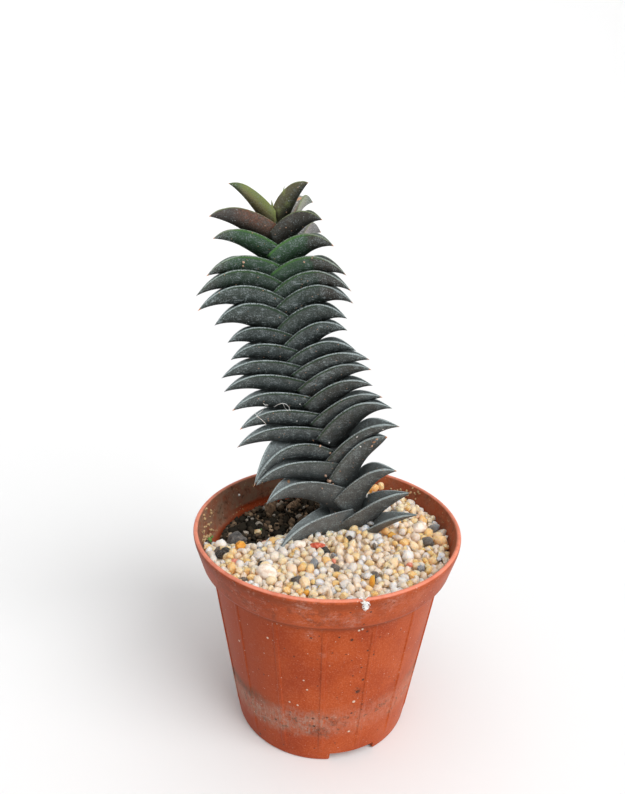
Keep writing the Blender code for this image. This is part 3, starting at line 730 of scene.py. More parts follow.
def leaves_of_row(row, draw):
    """One leaf of each rank that the row has, with small random differences."""
    for rank, (azimuths, reaches, later) in enumerate(RANKS):
        place = row + later
        sway = draw.normal(0, 1, 3)
        if row > reaches[-1][0]:
            continue
        reach = by_knots(reaches, row) * MM * (1 + 0.01 * sway[0])
        yield {
            "rank": rank,
            "row": row,
            "z": row_height(place),
            "azimuth": math.radians(by_knots(azimuths, row) + 1.5 * sway[2]),
            "reach": reach,
            "rise": (by_knots(TIP_RISE, place) + 0.15 * sway[1]) * MM,
            "size": min(1.0, 0.65 + 0.05 * (reach / MM - 8)),
            "tilt": math.radians(by_knots(LEAF_TILT, place)),
            "depth": by_knots(YOUNG_LEAF_DEPTH, place),
            "taper": by_knots(LEAF_TAPER, place),
            "bow": by_knots(YOUNG_LEAF_BOW, place),
            "side": FRONT_SIDE[rank],
            "near_drop": by_knots(NEAR_DROP, place),
            "far_drop": by_knots(FAR_DROP[rank], row),
            "far_width": by_knots(FAR_WIDTH, row),
            "neck": by_knots(LEAF_NECK, place),
            "heel": by_knots(LEAF_HEEL, row),
        }


def leaf_axes(leaf):
    """Outward, sideways and along, tilted to the left as the stem is."""
    along = np.array([-math.sin(leaf["tilt"]), 0.0, math.cos(leaf["tilt"])])
    outward = np.array([math.cos(leaf["azimuth"]), math.sin(leaf["azimuth"]), 0.0])
    outward = outward - along * outward.dot(along)
    outward = outward / np.linalg.norm(outward)
    return np.stack([outward, np.cross(along, outward), along])


def leaf_net(leaf):
    """Cross-sections along a leaf, v from 0 at the stem to 1 at the tip. The outer face rises from a
    soft keel to each margin as a power of the distance across, and the inner face is a shallower
    trough. The margins follow a parabola with a droop at the end. Width and depth shrink to the tip,
    the depth by the leaf's own taper. In the two front ranks each side drops along the leaf by its own
    slope, and the side behind is narrower."""
    v = (1 - (1 - np.linspace(0, 1, LEAF_STATIONS + 1)[:-1]) ** 1.25)[:, None]
    width = LEAF_WIDTH * leaf["size"] * (1 - v ** WIDTH_POWERS[0]) ** WIDTH_POWERS[1]
    width = width * (1 - leaf["neck"] * (1 - v) ** 3)
    depth = LEAF_DEPTH * leaf["size"] * leaf["depth"] * (1 - v ** leaf["taper"]) ** DEPTH_POWER
    depth = depth * (1 + leaf["heel"] * (1 - v) ** 4)
    bent = np.maximum(0, (v - DROOP_FROM) / (1 - DROOP_FROM)) ** DROOP_POWER
    arch = 4 * LEAF_BOW * leaf["bow"] * v * (1 - v) + TIP_DROOP * (v - bent)
    margin = leaf["rise"] * v + arch * leaf["size"]
    keel = margin - depth
    flesh = np.minimum(LEAF_THICKNESS, 0.6 * depth)
    lip = width - np.minimum(MARGIN_THICKNESS, 0.6 * width)
    over = np.cos(np.linspace(0, math.pi, OUTER_POINTS))
    under = np.sin(np.linspace(-math.pi / 2, math.pi / 2, INNER_POINTS))
    soft = np.sqrt(over**2 + KEEL_ROUNDING**2) - KEEL_ROUNDING
    soft = soft / (math.hypot(1, KEEL_ROUNDING) - KEEL_ROUNDING)
    crest = margin + 0.22 * (width - lip)
    across = np.concatenate([width * over, -(width + lip) / 2, lip * under, (width + lip) / 2], 1)
    up = np.concatenate([
        keel + depth * soft**OUTER_POWER, crest,
        keel + flesh + (margin - keel - flesh) * np.abs(under) ** INNER_POWER, crest,
    ], 1)
    near, far = np.maximum(across * leaf["side"], 0), np.maximum(-across * leaf["side"], 0)
    up = up - (leaf["near_drop"] * near + leaf["far_drop"] * far) * v**0.8
    across = across + leaf["side"] * far * (1 - leaf["far_width"])
    out = LEAF_ROOT + (leaf["reach"] - LEAF_ROOT) * v + 0 * across
    return np.stack([out, across, up], -1), v


def leaf_fields(net, v):
    """What the colours need at each point: the share of the way to the tip, the share of the way up
    from the keel to the margin, and whether the face is the inner one."""
    count = net.shape[1]
    over = np.abs(np.cos(np.linspace(0, math.pi, OUTER_POINTS)))
    under = np.abs(np.sin(np.linspace(-math.pi / 2, math.pi / 2, INNER_POINTS)))
    edge = np.concatenate([over, [1.0], under, [1.0]])
    inner = np.concatenate([np.zeros(OUTER_POINTS), [0.5], np.ones(INNER_POINTS), [0.5]])
    along = np.repeat(v, count, 1)
    return along, np.broadcast_to(edge, along.shape), np.broadcast_to(inner, along.shape)


# How the front leaves, and two at the back, differ from their rank's rule. Each row has its left, its
# right and its back leaf: how much higher the base and the tip are, how much more it is bowed and how
# much farther it reaches, in millimetres, and the share of the usual depth. The lowest ones are bent
# by the grit that they lie in.
UNBENT = (0.0, 0.0, 0.0, 0.0, 1.0)
LEAF_BENDS = {
    1: ((-1.3, -0.6, 0.1, 0.5, 1.05), (1.0, 0.55, -0.15, 0.45, 1.0), (0.0, 0.6, 0.5, 0.4, 1.0)),
    2: ((0.0, 0.2, -0.5, 0.6, 1.0), (0.4, -0.4, 0.2, 0.0, 1.0), (0.0, -1.2, 0.2, 1.2, 1.0)),
    3: ((0.0, -0.4, -0.4, 0.0, 0.88), (0.3, 0.2, 0.2, 0.0, 1.0)),
    4: ((0.0, -0.4, 0.1, 0.0, 1.0), (0.1, -0.2, 0.8, 0.2, 1.0)),
    5: ((0.3, -0.7, 1.0, 0.0, 1.0), (0.1, -0.3, 1.3, 0.7, 1.0)),
    6: ((0.2, 0.1, 1.1, 0.4, 1.05), (0.1, 0.0, 1.3, 0.0, 1.05)),
    7: ((-0.1, 0.0, 0.8, -0.3, 1.2), (-0.7, 0.0, 0.9, 0.0, 1.1)),
    8: ((-0.5, -0.7, -0.3, 0.1, 1.0), (-1.4, 0.5, 0.5, 0.0, 1.0)),
    9: ((-0.4, -0.4, -0.2, 0.1, 1.0), (-0.9, -0.9, 0.3, -0.3, 1.0)),
    10: ((-0.4, -0.7, -0.1, 0.0, 1.0), (-0.2, -0.2, 0.0, 0.0, 1.0)),
    11: ((-0.3, -0.2, 0.0, 0.1, 1.0), (0.0, -0.2, 0.1, 0.0, 1.0)),
    12: ((-0.4, -0.8, 0.0, 0.0, 1.0), (0.3, -0.5, 0.1, 0.0, 1.0)),
    13: ((-0.4, -1.0, 0.0, -0.2, 1.0), (0.0, -0.8, 0.0, 0.1, 1.0)),
    14: ((0.0, -0.4, 0.0, -0.4, 1.0), (0.9, 0.6, 1.3, 0.0, 1.15)),
    15: ((-0.8, -0.5, 3.2, 1.2, 1.0), (-0.9, 0.6, 0.8, 0.35, 0.95)),
    16: ((0.7, 0.3, 0.7, -0.9, 1.2), (0.7, 0.1, 0.3, 0.7, 0.98)),
    17: ((0.2, 0.4, 1.4, -0.8, 1.3), (1.1, 0.0, 0.1, 0.3, 1.1)),
    18: ((-0.4, -3.0, 0.3, 0.3, 1.3), (-1.8, -1.2, -1.0, 0.0, 1.15)),
    19: (UNBENT, (-5.7, -3.4, -0.8, 0.6, 0.8)),
}


def grow_leaf(leaf):
    """A leaf's points in the frame, its faces, and its numbers for the colours."""
    bends = (*LEAF_BENDS[leaf["row"]], UNBENT)
    bent = bends[min(leaf["rank"], len(bends) - 1)]
    base, end, bow, farther = (value * MM for value in bent[:4])
    leaf = leaf | {"reach": leaf["reach"] + farther, "depth": leaf["depth"] * bent[4]}
    net, v = leaf_net(leaf)
    axes = leaf_axes(leaf)
    start = stem_point(np.array(leaf["z"]))
    points = start + net @ axes
    points[..., 2] += base * (1 - v) + end * v + 4 * bow * v * (1 - v)
    tip = start + np.array([leaf["reach"], 0.0, leaf["rise"]]) @ axes + np.array([0.0, 0.0, end])
    points_and_ends = np.concatenate([points.reshape(-1, 3), [points[0].mean(0), tip]])
    numbers = [np.append(field.ravel(), (0.0, 1.0)) for field in leaf_fields(net, v)]
    return points_and_ends, closed_faces(*net.shape[:2], flip=True), numbers


def stem_net(sides=20, rings=40):
    """A tube along the stem's line, narrower towards the growing tip, closed at both ends."""
    z = np.linspace(STEM_BOTTOM, STEM_TOP, rings)
    radius = STEM_RADIUS * (1 - 0.85 * np.maximum(0, (z - STEM_TAPER_FROM) / (STEM_TOP - STEM_TAPER_FROM)))
    points = stem_point(z)[:, None] + circle(sides) * radius[:, None, None]
    return np.concatenate([points.reshape(-1, 3), stem_point(z[[0, -1]])]), closed_faces(rings, sides)


def bud_net(x, y, sides=10, rings=7):
    """A slender rolled leaf from inside the stem's end to the tip that a pixel shows."""
    way = pixel_ray(x, y)
    tip = EYE + way * (BUD_DEPTH - EYE[1]) / way[1]
    start = stem_point(np.array(STEM_TOP - BUD_ROOT))
    share = np.linspace(0, 0.94, rings)[:, None, None]
    points = start + (tip - start) * share + circle(sides) * BUD_RADIUS * (1 - share**2)
    return np.concatenate([points.reshape(-1, 3), [start, tip]]), closed_faces(rings, sides)


def make_plant():
    """The stem, every leaf and the rolled youngest leaves in one mesh."""
    draw = np.random.default_rng(SEED)
    own = np.random.default_rng(SEED + 5)
    grown = [(*stem_net(), (0, 0, 0), LEAF_ROWS, 0, 0)]
    for row in range(1, LEAF_ROWS + 1):
        for leaf in leaves_of_row(row, draw):
            grown.append((*grow_leaf(leaf), row, leaf["rank"], own.random()))
    grown += [(*bud_net(*tip), (0.5, 0.8, 0), 1, 0, 0.3) for tip in BUD_TIPS]
    fields = {label: [] for label in ("along", "edge", "inner", "row", "rank", "own")}
    faces, count = [], 0
    for body, pieces, numbers, *same in grown:
        faces += [piece + count for piece in pieces]
        count += len(body)
        for values, value in zip(fields.values(), (*numbers, *same)):
            values.append(np.zeros(len(body)) + value)
    fields = {label: np.concatenate(values) for label, values in fields.items()}
    return make_mesh("plant", np.concatenate([part[0] for part in grown]), faces, fields)


# The skin's colour by row, as stops of a twentieth of the row's number
SKIN_BY_ROW = (
    (0.0, (0.290, 0.350, 0.105)), (0.06, (0.250, 0.290, 0.088)), (0.10, (0.085, 0.062, 0.046)),
    (0.125, (0.056, 0.052, 0.042)), (0.15, (0.032, 0.100, 0.034)), (0.20, (0.029, 0.078, 0.033)),
    (0.25, (0.028, 0.055, 0.032)), (0.30, (0.032, 0.048, 0.037)), (0.40, (0.038, 0.049, 0.045)),
    (0.65, (0.047, 0.057, 0.055)), (0.80, (0.066, 0.074, 0.073)), (0.90, (0.090, 0.093, 0.092)),
)
# The colour of the pale dust, which also paints light on the upper part of each leaf face
DUST_AND_LIGHT = (0.26, 0.305, 0.310)


def leaf_youth_colours(paint, skin, row, right, along, edge, cloud):
    """Brown and rust in the second row and at the young tips, olive on the first right leaf, brown on
    the outer part of the next right leaves and thinly on the old ones, and on the first left leaf tan
    with a green tip."""
    second = row.within(1.3, 1.7) * row.within(2.6, 2.3)
    first = row.within(1.6, 1.3)
    tips = along.within(0.6, 0.9) * row.within(6.5, 4.5) * row.within(1.3, 1.7) * 0.85
    brown = second.max(first * right).max(tips) * cloud.within(0.25, 0.5)
    mottle = paint.noise(0.5, 4, 0.8).within(0.42, 0.58)
    rust = paint.mix(edge.within(0.35, 0.8) * mottle, (0.105, 0.066, 0.046), (0.22, 0.085, 0.050))
    left_rust = paint.mix(along.within(0.45, 0.7), rust, (0.072, 0.058, 0.050))
    olive = paint.mix(first * edge.within(0.2, 0.9), (0.044, 0.038, 0.028), (0.085, 0.066, 0.030))
    outer = right * (along + cloud * 0.3).within(0.68, 0.76) * row.within(2.6, 2.9) * row.within(6.8, 5.8)
    old_right = right * row.within(8.5, 11.0) * cloud.within(0.3, 0.6)
    left_first = first * right.within(0.6, 0.4)
    return paint.cover(
        skin,
        (brown * 0.9, paint.mix(right, left_rust, olive)),
        (outer * 0.85, (0.052, 0.038, 0.028)),
        (old_right * 0.6, (0.062, 0.053, 0.043)),
        (left_first * edge.within(0.85, 0.5) * along.within(0.85, 0.7) * 0.7, (0.40, 0.32, 0.16)),
        (left_first * along.within(0.62, 0.82) * 0.75, (0.070, 0.125, 0.045)),
    )


def leaf_dust_and_light(paint, row, own, along, edge, inner, speckle):
    """Pale dust: a fine speckle all over, thicker towards the margins and the tips, on the inner
    faces and on the oldest leaves, with scratches through it. Up towards the margin it is partly
    painted light, which makes the upper part of each face lighter."""
    bloom = paint.noise(1.7, 4, 0.65).within(0.36, 0.64)
    scratch = paint.streaks((800.0, 800.0, 3200.0), 2, 0.5).within(0.61, 0.66)
    fine = speckle.within(0.50, 0.62) * (bloom * 0.55 + 0.2)
    # Painted light in part: more dust up towards the margin and in a band under it
    upper = edge.within(0.30, 0.9) * edge.within(1.0, 0.9)
    dust_and_light = fine * (edge.within(0.1, 0.8) * 0.85 + 0.15)
    dust_and_light = dust_and_light + upper * (bloom * 0.12 + 0.06) + scratch * bloom * 0.8
    dust_and_light = dust_and_light + inner * (row.within(4.2, 2.5) * 0.25 + 0.2)
    dust_and_light = dust_and_light + along.within(0.7, 1.0) * speckle.within(0.45, 0.6) * 0.3
    settled = row.within(1.8, 3.2) * 0.5 + row.within(4.0, 9.0) * 0.15 + 0.35
    return (dust_and_light + row.within(13.0, 18.0) * 0.10) * (own * 0.5 + 0.75) * settled


def paint_leaf():
    """Matt skin: brown and yellow-green in the two youngest rows, green in the next few, then dark
    grey-green, and bluish grey at the foot. It is darkest along the keel, by painted shade, and lighter
    up towards the margin, partly by painted light in the dust. A pale margin has a green line under it."""
    paint = Paint("leaf", Roughness=0.5, Specular_IOR_Level=0.3)
    row, rank, own, along, edge, inner = map(paint.attribute, "row rank own along edge inner".split())
    right = rank.within(0.4, 0.6) * rank.within(1.6, 1.4)
    cloud = paint.noise(2.4, 4, 0.6)
    grain = paint.noise(0.17, 2, 0.6)
    speckle = paint.noise(0.27, 3, 0.7)
    skin = leaf_youth_colours(paint, paint.ramp(row / 20.0, *SKIN_BY_ROW), row, right, along, edge, cloud)
    # Painted shade: darker down towards the keel, broken by a fine grain, and weaker on the lowest rows
    shade = (edge.within(0.95, 0.20) * 0.88 + grain.within(0.5, 0.3) * 0.5) * inner.within(0.4, 0.1)
    shade = shade * (1.0 - row.within(15.0, 18.0) * 0.55)
    dust_and_light = leaf_dust_and_light(paint, row, own, along, edge, inner, speckle)
    pale = rank.within(1.4, 1.8) * row.within(3.2, 2.6) * (inner * 0.35 + 0.5)
    stripe = edge.within(0.3, 0.4) * edge.within(0.8, 0.7) * row.within(1.6, 1.3)
    chalky = paint.mix(speckle.within(0.46, 0.60), (0.17, 0.17, 0.17), (0.50, 0.51, 0.51))
    line = edge.within(0.915, 0.95) * edge.within(0.995, 0.965) * inner.within(0.3, 0.1)
    line = line * row.within(2.5, 2.9) * along.within(0.85, 0.5) * row.within(18.0, 13.0)
    green = paint.mix(row.within(3.0, 6.0), (0.070, 0.20, 0.035), (0.018, 0.050, 0.018))
    worn = speckle.within(0.40, 0.56) * 0.8 + along.within(0.35, 0.75) * 0.35 - along.within(0.4, 0.1) * 0.45
    rim = edge.within(0.965, 1.0) * worn.within(0.05, 0.8)
    rim_colour = paint.mix(row.within(1.5, 6.5), (0.19, 0.24, 0.11), (0.40, 0.47, 0.47))
    crumbs = paint.flecks(1.1, (0.17, 0.07), (0.72, 0.76))
    flecks = paint.flecks(0.5, (0.24, 0.08), (0.56, 0.68))
    thick = paint.noise(1.4, 3, 0.6).within(0.42, 0.60)
    point = along.within(0.955, 0.985) * own.within(0.5, 0.85).max(row.within(4.6, 3.6) * 0.9)
    paint.colour(paint.cover(
        skin,
        # Painted shade towards the keel
        (shade, paint.tinted(skin, (0.14, 0.15, 0.15))),
        # Dust, and painted light on the upper faces
        (dust_and_light, DUST_AND_LIGHT),
        (pale, paint.mix(stripe * inner, chalky, (0.50, 0.27, 0.16))),
        (line * 0.85, green),
        (rim * 0.8, rim_colour),
        (crumbs * 0.85, (0.50, 0.30, 0.19)),
        (flecks * thick * 0.75, (0.50, 0.55, 0.55)),
        (point, (0.60, 0.27, 0.11)),
    ))
    paint.roughness(dust_and_light * 0.25 + grain * 0.16 + 0.36)
    paint.relief(grain * 0.35 + speckle * 0.5 + crumbs * 0.8 + flecks * 0.5, 0.07)
    return paint


plant = make_plant()
finish_piece(plant, paint_leaf(), "leaf", "leafy_stem")
plant_tree = BVHTree.FromPolygons(
    [vertex.co for vertex in plant.data.vertices], [face.vertices for face in plant.data.polygons]
)

# Eight loose stones and bits of bark lie on the grit and on the mix: limestone, one brick-red chip,
# a granite chip, a lump of charcoal and two bits of bark. Each is as large as its solid.

PEBBLE_ROWS = 40
PEBBLE_COLUMNS = 64
STONES = {
    # solid: (slot, flats, how angular, relief, its piece's seed)
    "stone_cream": ("limestone", 14, 5, 0.055, 1),
    "stone_small": ("limestone", 8, 9, 0.045, 2),
    "stone_pink": ("limestone", 8, 12, 0.04, 3),
    "stone_red": ("red_stone", 10, 9, 0.03, 4),
    "stone_granite": ("dark_stone", 8, 24, 0.12, 5),
    "charcoal": ("dark_stone", 9, 14, 0.15, 6),
    "bark_long": ("bark", 7, 18, 0.07, 7),
    "bark_short": ("bark", 7, 18, 0.07, 8),
}


def sphere_net(rows, columns):
    """Unit directions on a net from the south pole to the north, and the faces of a closed ball."""
    down = np.linspace(0, math.pi, rows + 1)[1:-1][:, None, None]
    net = circle(columns) * np.sin(down) - np.array([0.0, 0.0, 1.0]) * np.cos(down)
    return np.concatenate([net.reshape(-1, 3), [(0, 0, -1), (0, 0, 1)]]), closed_faces(rows - 1, columns)


def pebble(ways, flats, angular, draw):
    """How far a pebble's skin is from its middle in each direction. It is the inside of random flats,
    whose corners are rounder the lower the power that joins them."""
    normals = draw.normal(0, 1, (flats, 3))
    normals = np.concatenate([normals, -normals * draw.uniform(0.6, 1.0, (flats, 1))])
    normals /= np.linalg.norm(normals, axis=1)[:, None]
    near = np.maximum(ways @ normals.T, 0) / draw.uniform(0.78, 1.0, len(normals))
    return (near**angular).sum(1) ** (-1 / angular)


def waves(points, draw, size, octaves=4):
    """A rough field about 0: sums of sines along random directions, each octave finer and weaker."""
    total = np.zeros(len(points))
    for octave in range(octaves):
        ways = draw.normal(0, 2.2**octave / size, (7, 3))
        total += np.sin(points @ ways.T + draw.uniform(0, math.tau, 7)).sum(1) / 1.9**octave
    return total / 5


def make_stone(node, flats, angular, rough, seed):
    """A pebble with a rough skin, scaled to fill its solid's box."""
    draw = np.random.default_rng(SEED + seed)
    ways, faces = sphere_net(PEBBLE_ROWS, PEBBLE_COLUMNS)
    reach = pebble(ways, flats, angular, draw)
    shape = ways * (reach * (1 + rough * waves(ways, draw, 0.55)))[:, None]
    low, high = (np.array(corner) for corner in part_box(node))
    share = (shape - shape.min(0)) / (shape.max(0) - shape.min(0))
    return make_mesh(f"{node}_piece", low + share * (high - low), faces)


def paint_limestone():
    """Cream, chalky and pitted."""
    paint = Paint("limestone", Roughness=0.85)
    cloud = paint.noise(1.2, 4)
    pits = paint.flecks(0.5, (0.3, 0.1), (0.5, 0.7))
    stops = (0.35, (0.70, 0.54, 0.42)), (0.48, (0.87, 0.76, 0.64)), (0.62, (0.92, 0.86, 0.78))
    paint.colour(paint.mix(pits * 0.45, paint.ramp(cloud, *stops), (0.40, 0.28, 0.19)))
    paint.relief(cloud + pits * -0.5, 0.2)
    return paint


def paint_red_stone():
    """Brick red with a paler dust."""
    paint = Paint("red_stone", Roughness=0.8)
    cloud = paint.noise(0.6, 4)
    stops = (0.35, (0.50, 0.08, 0.04)), (0.55, (0.68, 0.13, 0.07)), (0.7, (0.74, 0.26, 0.18))
    paint.colour(paint.ramp(cloud, *stops))
    paint.relief(cloud, 0.12)
    return paint


def paint_dark_stone():
    """Dark grey with paler grains and a brown cast in places."""
    paint = Paint("dark_stone", Roughness=0.75)
    cloud = paint.noise(1.6, 4)
    fleck = paint.noise(0.28, 3, 0.7)
    stops = (0.36, (0.035, 0.032, 0.030)), (0.5, (0.095, 0.092, 0.090)), (0.64, (0.15, 0.115, 0.085))
    paint.colour(paint.mix(fleck.within(0.5, 0.68) * 0.55, paint.ramp(cloud, *stops), (0.26, 0.25, 0.23)))
    paint.relief(cloud + fleck * 0.6, 0.25)
    return paint


def paint_bark():
    """Brown, fibrous along its length, with tan broken faces."""
    paint = Paint("bark", Roughness=0.9)
    fibre = paint.streaks((2600.0, 2600.0, 500.0), 4, 0.6)
    patch = paint.noise(2, 3)
    stops = (0.35, (0.09, 0.058, 0.036)), (0.5, (0.24, 0.155, 0.095)), (0.65, (0.42, 0.29, 0.18))
    paint.colour(paint.mix(patch.within(0.5, 0.65) * 0.6, paint.ramp(fibre, *stops), (0.50, 0.32, 0.20)))
    paint.relief(fibre, 0.3)
    return paint


stone_paints = {
    "limestone": paint_limestone(),
    "red_stone": paint_red_stone(),
    "dark_stone": paint_dark_stone(),
    "bark": paint_bark(),
}
for node, (slot, flats, angular, rough, seed) in STONES.items():
    finish_piece(make_stone(node, flats, angular, rough, seed), stone_paints[slot], slot, node)

# Quartz grit covers the mix: loose grains of honey, beige, grey and white quartz, most about 2 mm
# across, poured over a bed and left as they fell. It stops at a hollow at the back left.

GRIT_LEVEL = 45.0 * MM
GRIT_EDGE_LEVEL = 41.0 * MM
HOLLOW_CENTRE = (-14.5 * MM, 14.0 * MM)
HOLLOW_RADII = (18.0 * MM, 11.0 * MM)
HOLLOW_TURN = math.radians(48)
BED_DROP = 0.8 * MM
BED_THICKNESS = 0.8 * MM
BED_GAP = 0.35 * MM
BED_RINGS = 60
BED_SIDES = 180
# The pot's inner wall: heights, and the radius at each
INNER_HEIGHTS = np.array([3.1, 39.8, 41.6, 48.5]) * MM
INNER_RADII = np.array([20.0, 25.2, 27.3, 29.1]) * MM
GRAIN_COUNT = 3300
# A grain's usual radius, how far the logarithms of radii spread, and the least and greatest radius
GRAIN_RADIUS = 1.05
GRAIN_SPREAD = 0.18
GRAIN_LIMITS = (0.75, 1.5)
GRAIN_SHAPES = 28
GRAIN_FLATS = 7
GRAIN_TRIES = 9
# How close two grains come, as a share of the sum of their radii
PACKING = 0.70
# How far the grains may reach above the grit's mean height
GRIT_ROOM = 0.55 * MM
# Low heaps by the lowest leaves: (x, y, reach, height) in millimetres
GRIT_HEAPS = ((18.5, 12.5, 6.0, 1.7), (9.0, 0.5, 3.6, 1.9))


def hollow(x, y):
    """1 at the middle of the hollow at the back left, 0 on its edge, and below 0 outside."""
    dx, dy = x - HOLLOW_CENTRE[0], y - HOLLOW_CENTRE[1]
    across = dx * math.cos(HOLLOW_TURN) + dy * math.sin(HOLLOW_TURN)
    along = dy * math.cos(HOLLOW_TURN) - dx * math.sin(HOLLOW_TURN)
    return 1 - np.hypot(across / HOLLOW_RADII[0], along / HOLLOW_RADII[1])


def grit_level(x, y):
    """The grit's mean height: nearly level, lower at the right, and falling to the hollow's edge."""
    bank = np.clip(-hollow(x, y) / 0.55, 0, 1)
    level = GRIT_LEVEL - 0.03 * np.maximum(x, 0) - 0.02 * y
    for middle_x, middle_y, reach, rise in GRIT_HEAPS:
        apart = np.hypot(x / MM - middle_x, y / MM - middle_y)
        level = level + rise * MM * np.exp(-((apart / reach) ** 2))
    return GRIT_EDGE_LEVEL + (level - GRIT_EDGE_LEVEL) * bank * (2 - bank)


def mix_level(x, y):
    """The mix's height: a flat bed, a little higher in the hollow towards the wall."""
    deep = np.clip((hollow(x, y) - 0.16) * 5, 0, 1)
    return MIX_LEVEL + deep * (0.6 * MM + 0.06 * np.maximum(np.hypot(x, y) - 14 * MM, 0))


def inner_radius(z):
    """The pot's inside radius at a height."""
    return np.interp(z, INNER_HEIGHTS, INNER_RADII)


def leaf_top(x, y, high):
    """The height of the plant's skin below a point, or None where nothing of it is below."""
    found = plant_tree.ray_cast(Vector((x, y, high)), Vector((0, 0, -1)))[0]
    return None if found is None else found.z


def clear_of_plant(centre, radius):
    """Whether a grain's ball keeps out of the plant's skin, and isn't inside it. Past a leaf's own
    thickness it can't be inside, and near a sharp edge the skin's side says nothing."""
    near, normal, _, apart = plant_tree.find_nearest(Vector(centre))
    outside = apart > LEAF_THICKNESS or (Vector(centre) - near).dot(normal) > 0
    return outside and apart > 0.72 * radius


def pour(draw, radii, region, ground, keep_under, placed):
    """Drops balls one at a time. Each tries some random places, and comes to rest at the lowest, on
    the ground or on balls already there. placed starts with balls that are there from the first, and
    nothing comes to rest on top of those."""
    centres = np.zeros((len(radii) + len(placed), 3))
    sizes = np.zeros(len(centres))
    for count, (x, y, z, radius) in enumerate(placed):
        centres[count], sizes[count] = (x, y, z), radius
    first = count = len(placed)
    for radius in radii:
        x, y = region(draw, radius)
        flat = np.hypot(x[:, None] - centres[:count, 0], y[:, None] - centres[:count, 1])
        touch = PACKING * (radius + sizes[:count])
        over = np.sqrt(np.maximum(touch**2 - flat**2, 0))
        rest = np.where(flat < touch, centres[:count, 2] + over, -1.0).max(1, initial=-1.0)
        covers = (flat[:, :first] < 1.12 * sizes[:first]).any(1)
        z = np.where(covers, 1.0, np.maximum(rest, ground(x, y) + 0.55 * radius))
        for pick in np.argsort(z - keep_under(x, y)):
            top = leaf_top(x[pick], y[pick], z[pick] + 2.2 * MM)
            height = z[pick] if top is None else max(z[pick], top + 0.8 * radius)
            if height + 0.2 * radius > keep_under(x[pick], y[pick]):
                continue
            if clear_of_plant((x[pick], y[pick], height), radius):
                centres[count], sizes[count] = (x[pick], y[pick], height), radius
                count += 1
                break
    return centres[:count], sizes[:count]


def grain_shapes(draw, count, angular, flat=0.8):
    """Unit grains of 80 faces each: a ball of 42 points pulled to random flats, and squashed a little."""
    work = bmesh.new()
    bmesh.ops.create_icosphere(work, subdivisions=2, radius=1.0)
    bmesh.ops.recalc_face_normals(work, faces=work.faces)
    ways = np.array([vertex.co.normalized() for vertex in work.verts])
    faces = np.array([[vertex.index for vertex in face.verts] for face in work.faces])
    work.free()
    shapes = []
    for _ in range(count):
        reach = pebble(ways, GRAIN_FLATS, angular, draw)
        squash = np.array([1.0, draw.uniform(0.88, 1.0), draw.uniform(flat, 1.0)])
        shapes.append(ways * reach[:, None] * squash)
    shapes = np.array(shapes)
    return shapes / np.abs(shapes).max((1, 2))[:, None, None] * 1.08, faces


def random_turns(draw, count):
    """Rotation matrices from random unit quaternions."""
    parts = draw.normal(0, 1, (count, 4)).T
    w, x, y, z = parts / np.linalg.norm(parts, axis=0)
    return np.stack([
        1 - 2 * (y * y + z * z), 2 * (x * y - z * w), 2 * (x * z + y * w),
        2 * (x * y + z * w), 1 - 2 * (x * x + z * z), 2 * (y * z - x * w),
        2 * (x * z - y * w), 2 * (y * z + x * w), 1 - 2 * (x * x + y * y),
    ], -1).reshape(count, 3, 3)


def scatter(name, draw, centres, sizes, shapes, faces, tones):
    """A grain of a random shape, turned at random, at each ball. Its tone goes with its points."""
    pick = draw.integers(0, len(shapes), len(centres))
    body = np.einsum("nij,nkj->nki", random_turns(draw, len(centres)), shapes[pick])
    points = centres[:, None] + body * sizes[:, None, None]
    count = shapes.shape[1]
    loops = faces[None] + (np.arange(len(centres)) * count)[:, None, None]
    fields = {"tone": np.repeat(tones, count), "own": np.repeat(draw.random(len(centres)), count)}
    return make_mesh(name, points.reshape(-1, 3), [loops.reshape(-1, 3)], fields)


# Grains that stand out: (pixel x, pixel y, height and radius in millimetres, tone)
MARKED_GRAINS = (
    (428, 542, 44.6, 1.5, 0.965), (440, 541, 44.9, 1.5, 0.18), (314, 564, 45.2, 1.05, 0.93),
    (325, 551, 45.0, 1.1, 0.99), (334, 556, 45.0, 1.0, 0.945), (421, 569, 44.8, 1.0, 0.93),
    (372, 582, 45.4, 1.35, 0.86), (227, 558, 44.8, 1.2, 0.12), (271, 553, 45.0, 1.3, 0.66),
    (283, 553, 45.0, 1.3, 0.69), (240, 566, 45.0, 1.3, 0.71), (352, 569, 45.3, 1.15, 0.76),
    (366, 569, 45.2, 0.9, 0.78), (368, 576, 45.3, 1.0, 0.80), (408, 556, 45.0, 1.3, 0.77),
    (371, 538, 44.9, 0.9, 0.87), (334, 561, 45.5, 0.6, 0.905), (221, 545, 44.4, 1.3, 0.82),
    (258, 533, 41.3, 1.2, 0.15), (393, 586, 45.3, 1.0, 0.80), (352, 536, 45.0, 1.4, 0.80),
    (362, 532, 45.0, 1.3, 0.72), (416, 538, 44.8, 1.3, 0.66), (346, 585, 45.5, 1.2, 0.70),
    (282, 541, 44.4, 0.9, 0.79), (398, 538, 44.9, 1.2, 0.62), (434, 528, 44.4, 1.5, 0.95),
    (262, 565, 45.0, 1.0, 0.99), (365, 529, 46.4, 1.0, 0.79), (370, 523, 46.5, 0.95, 0.70),
    (359, 538, 45.7, 1.0, 0.74), (375, 488, 46.2, 1.2, 0.05), (381, 486, 46.2, 1.2, 0.15),
    (385, 531, 45.6, 1.3, 0.05), (402, 532, 45.6, 1.2, 0.81), (395, 524, 46.0, 1.1, 0.79),
)

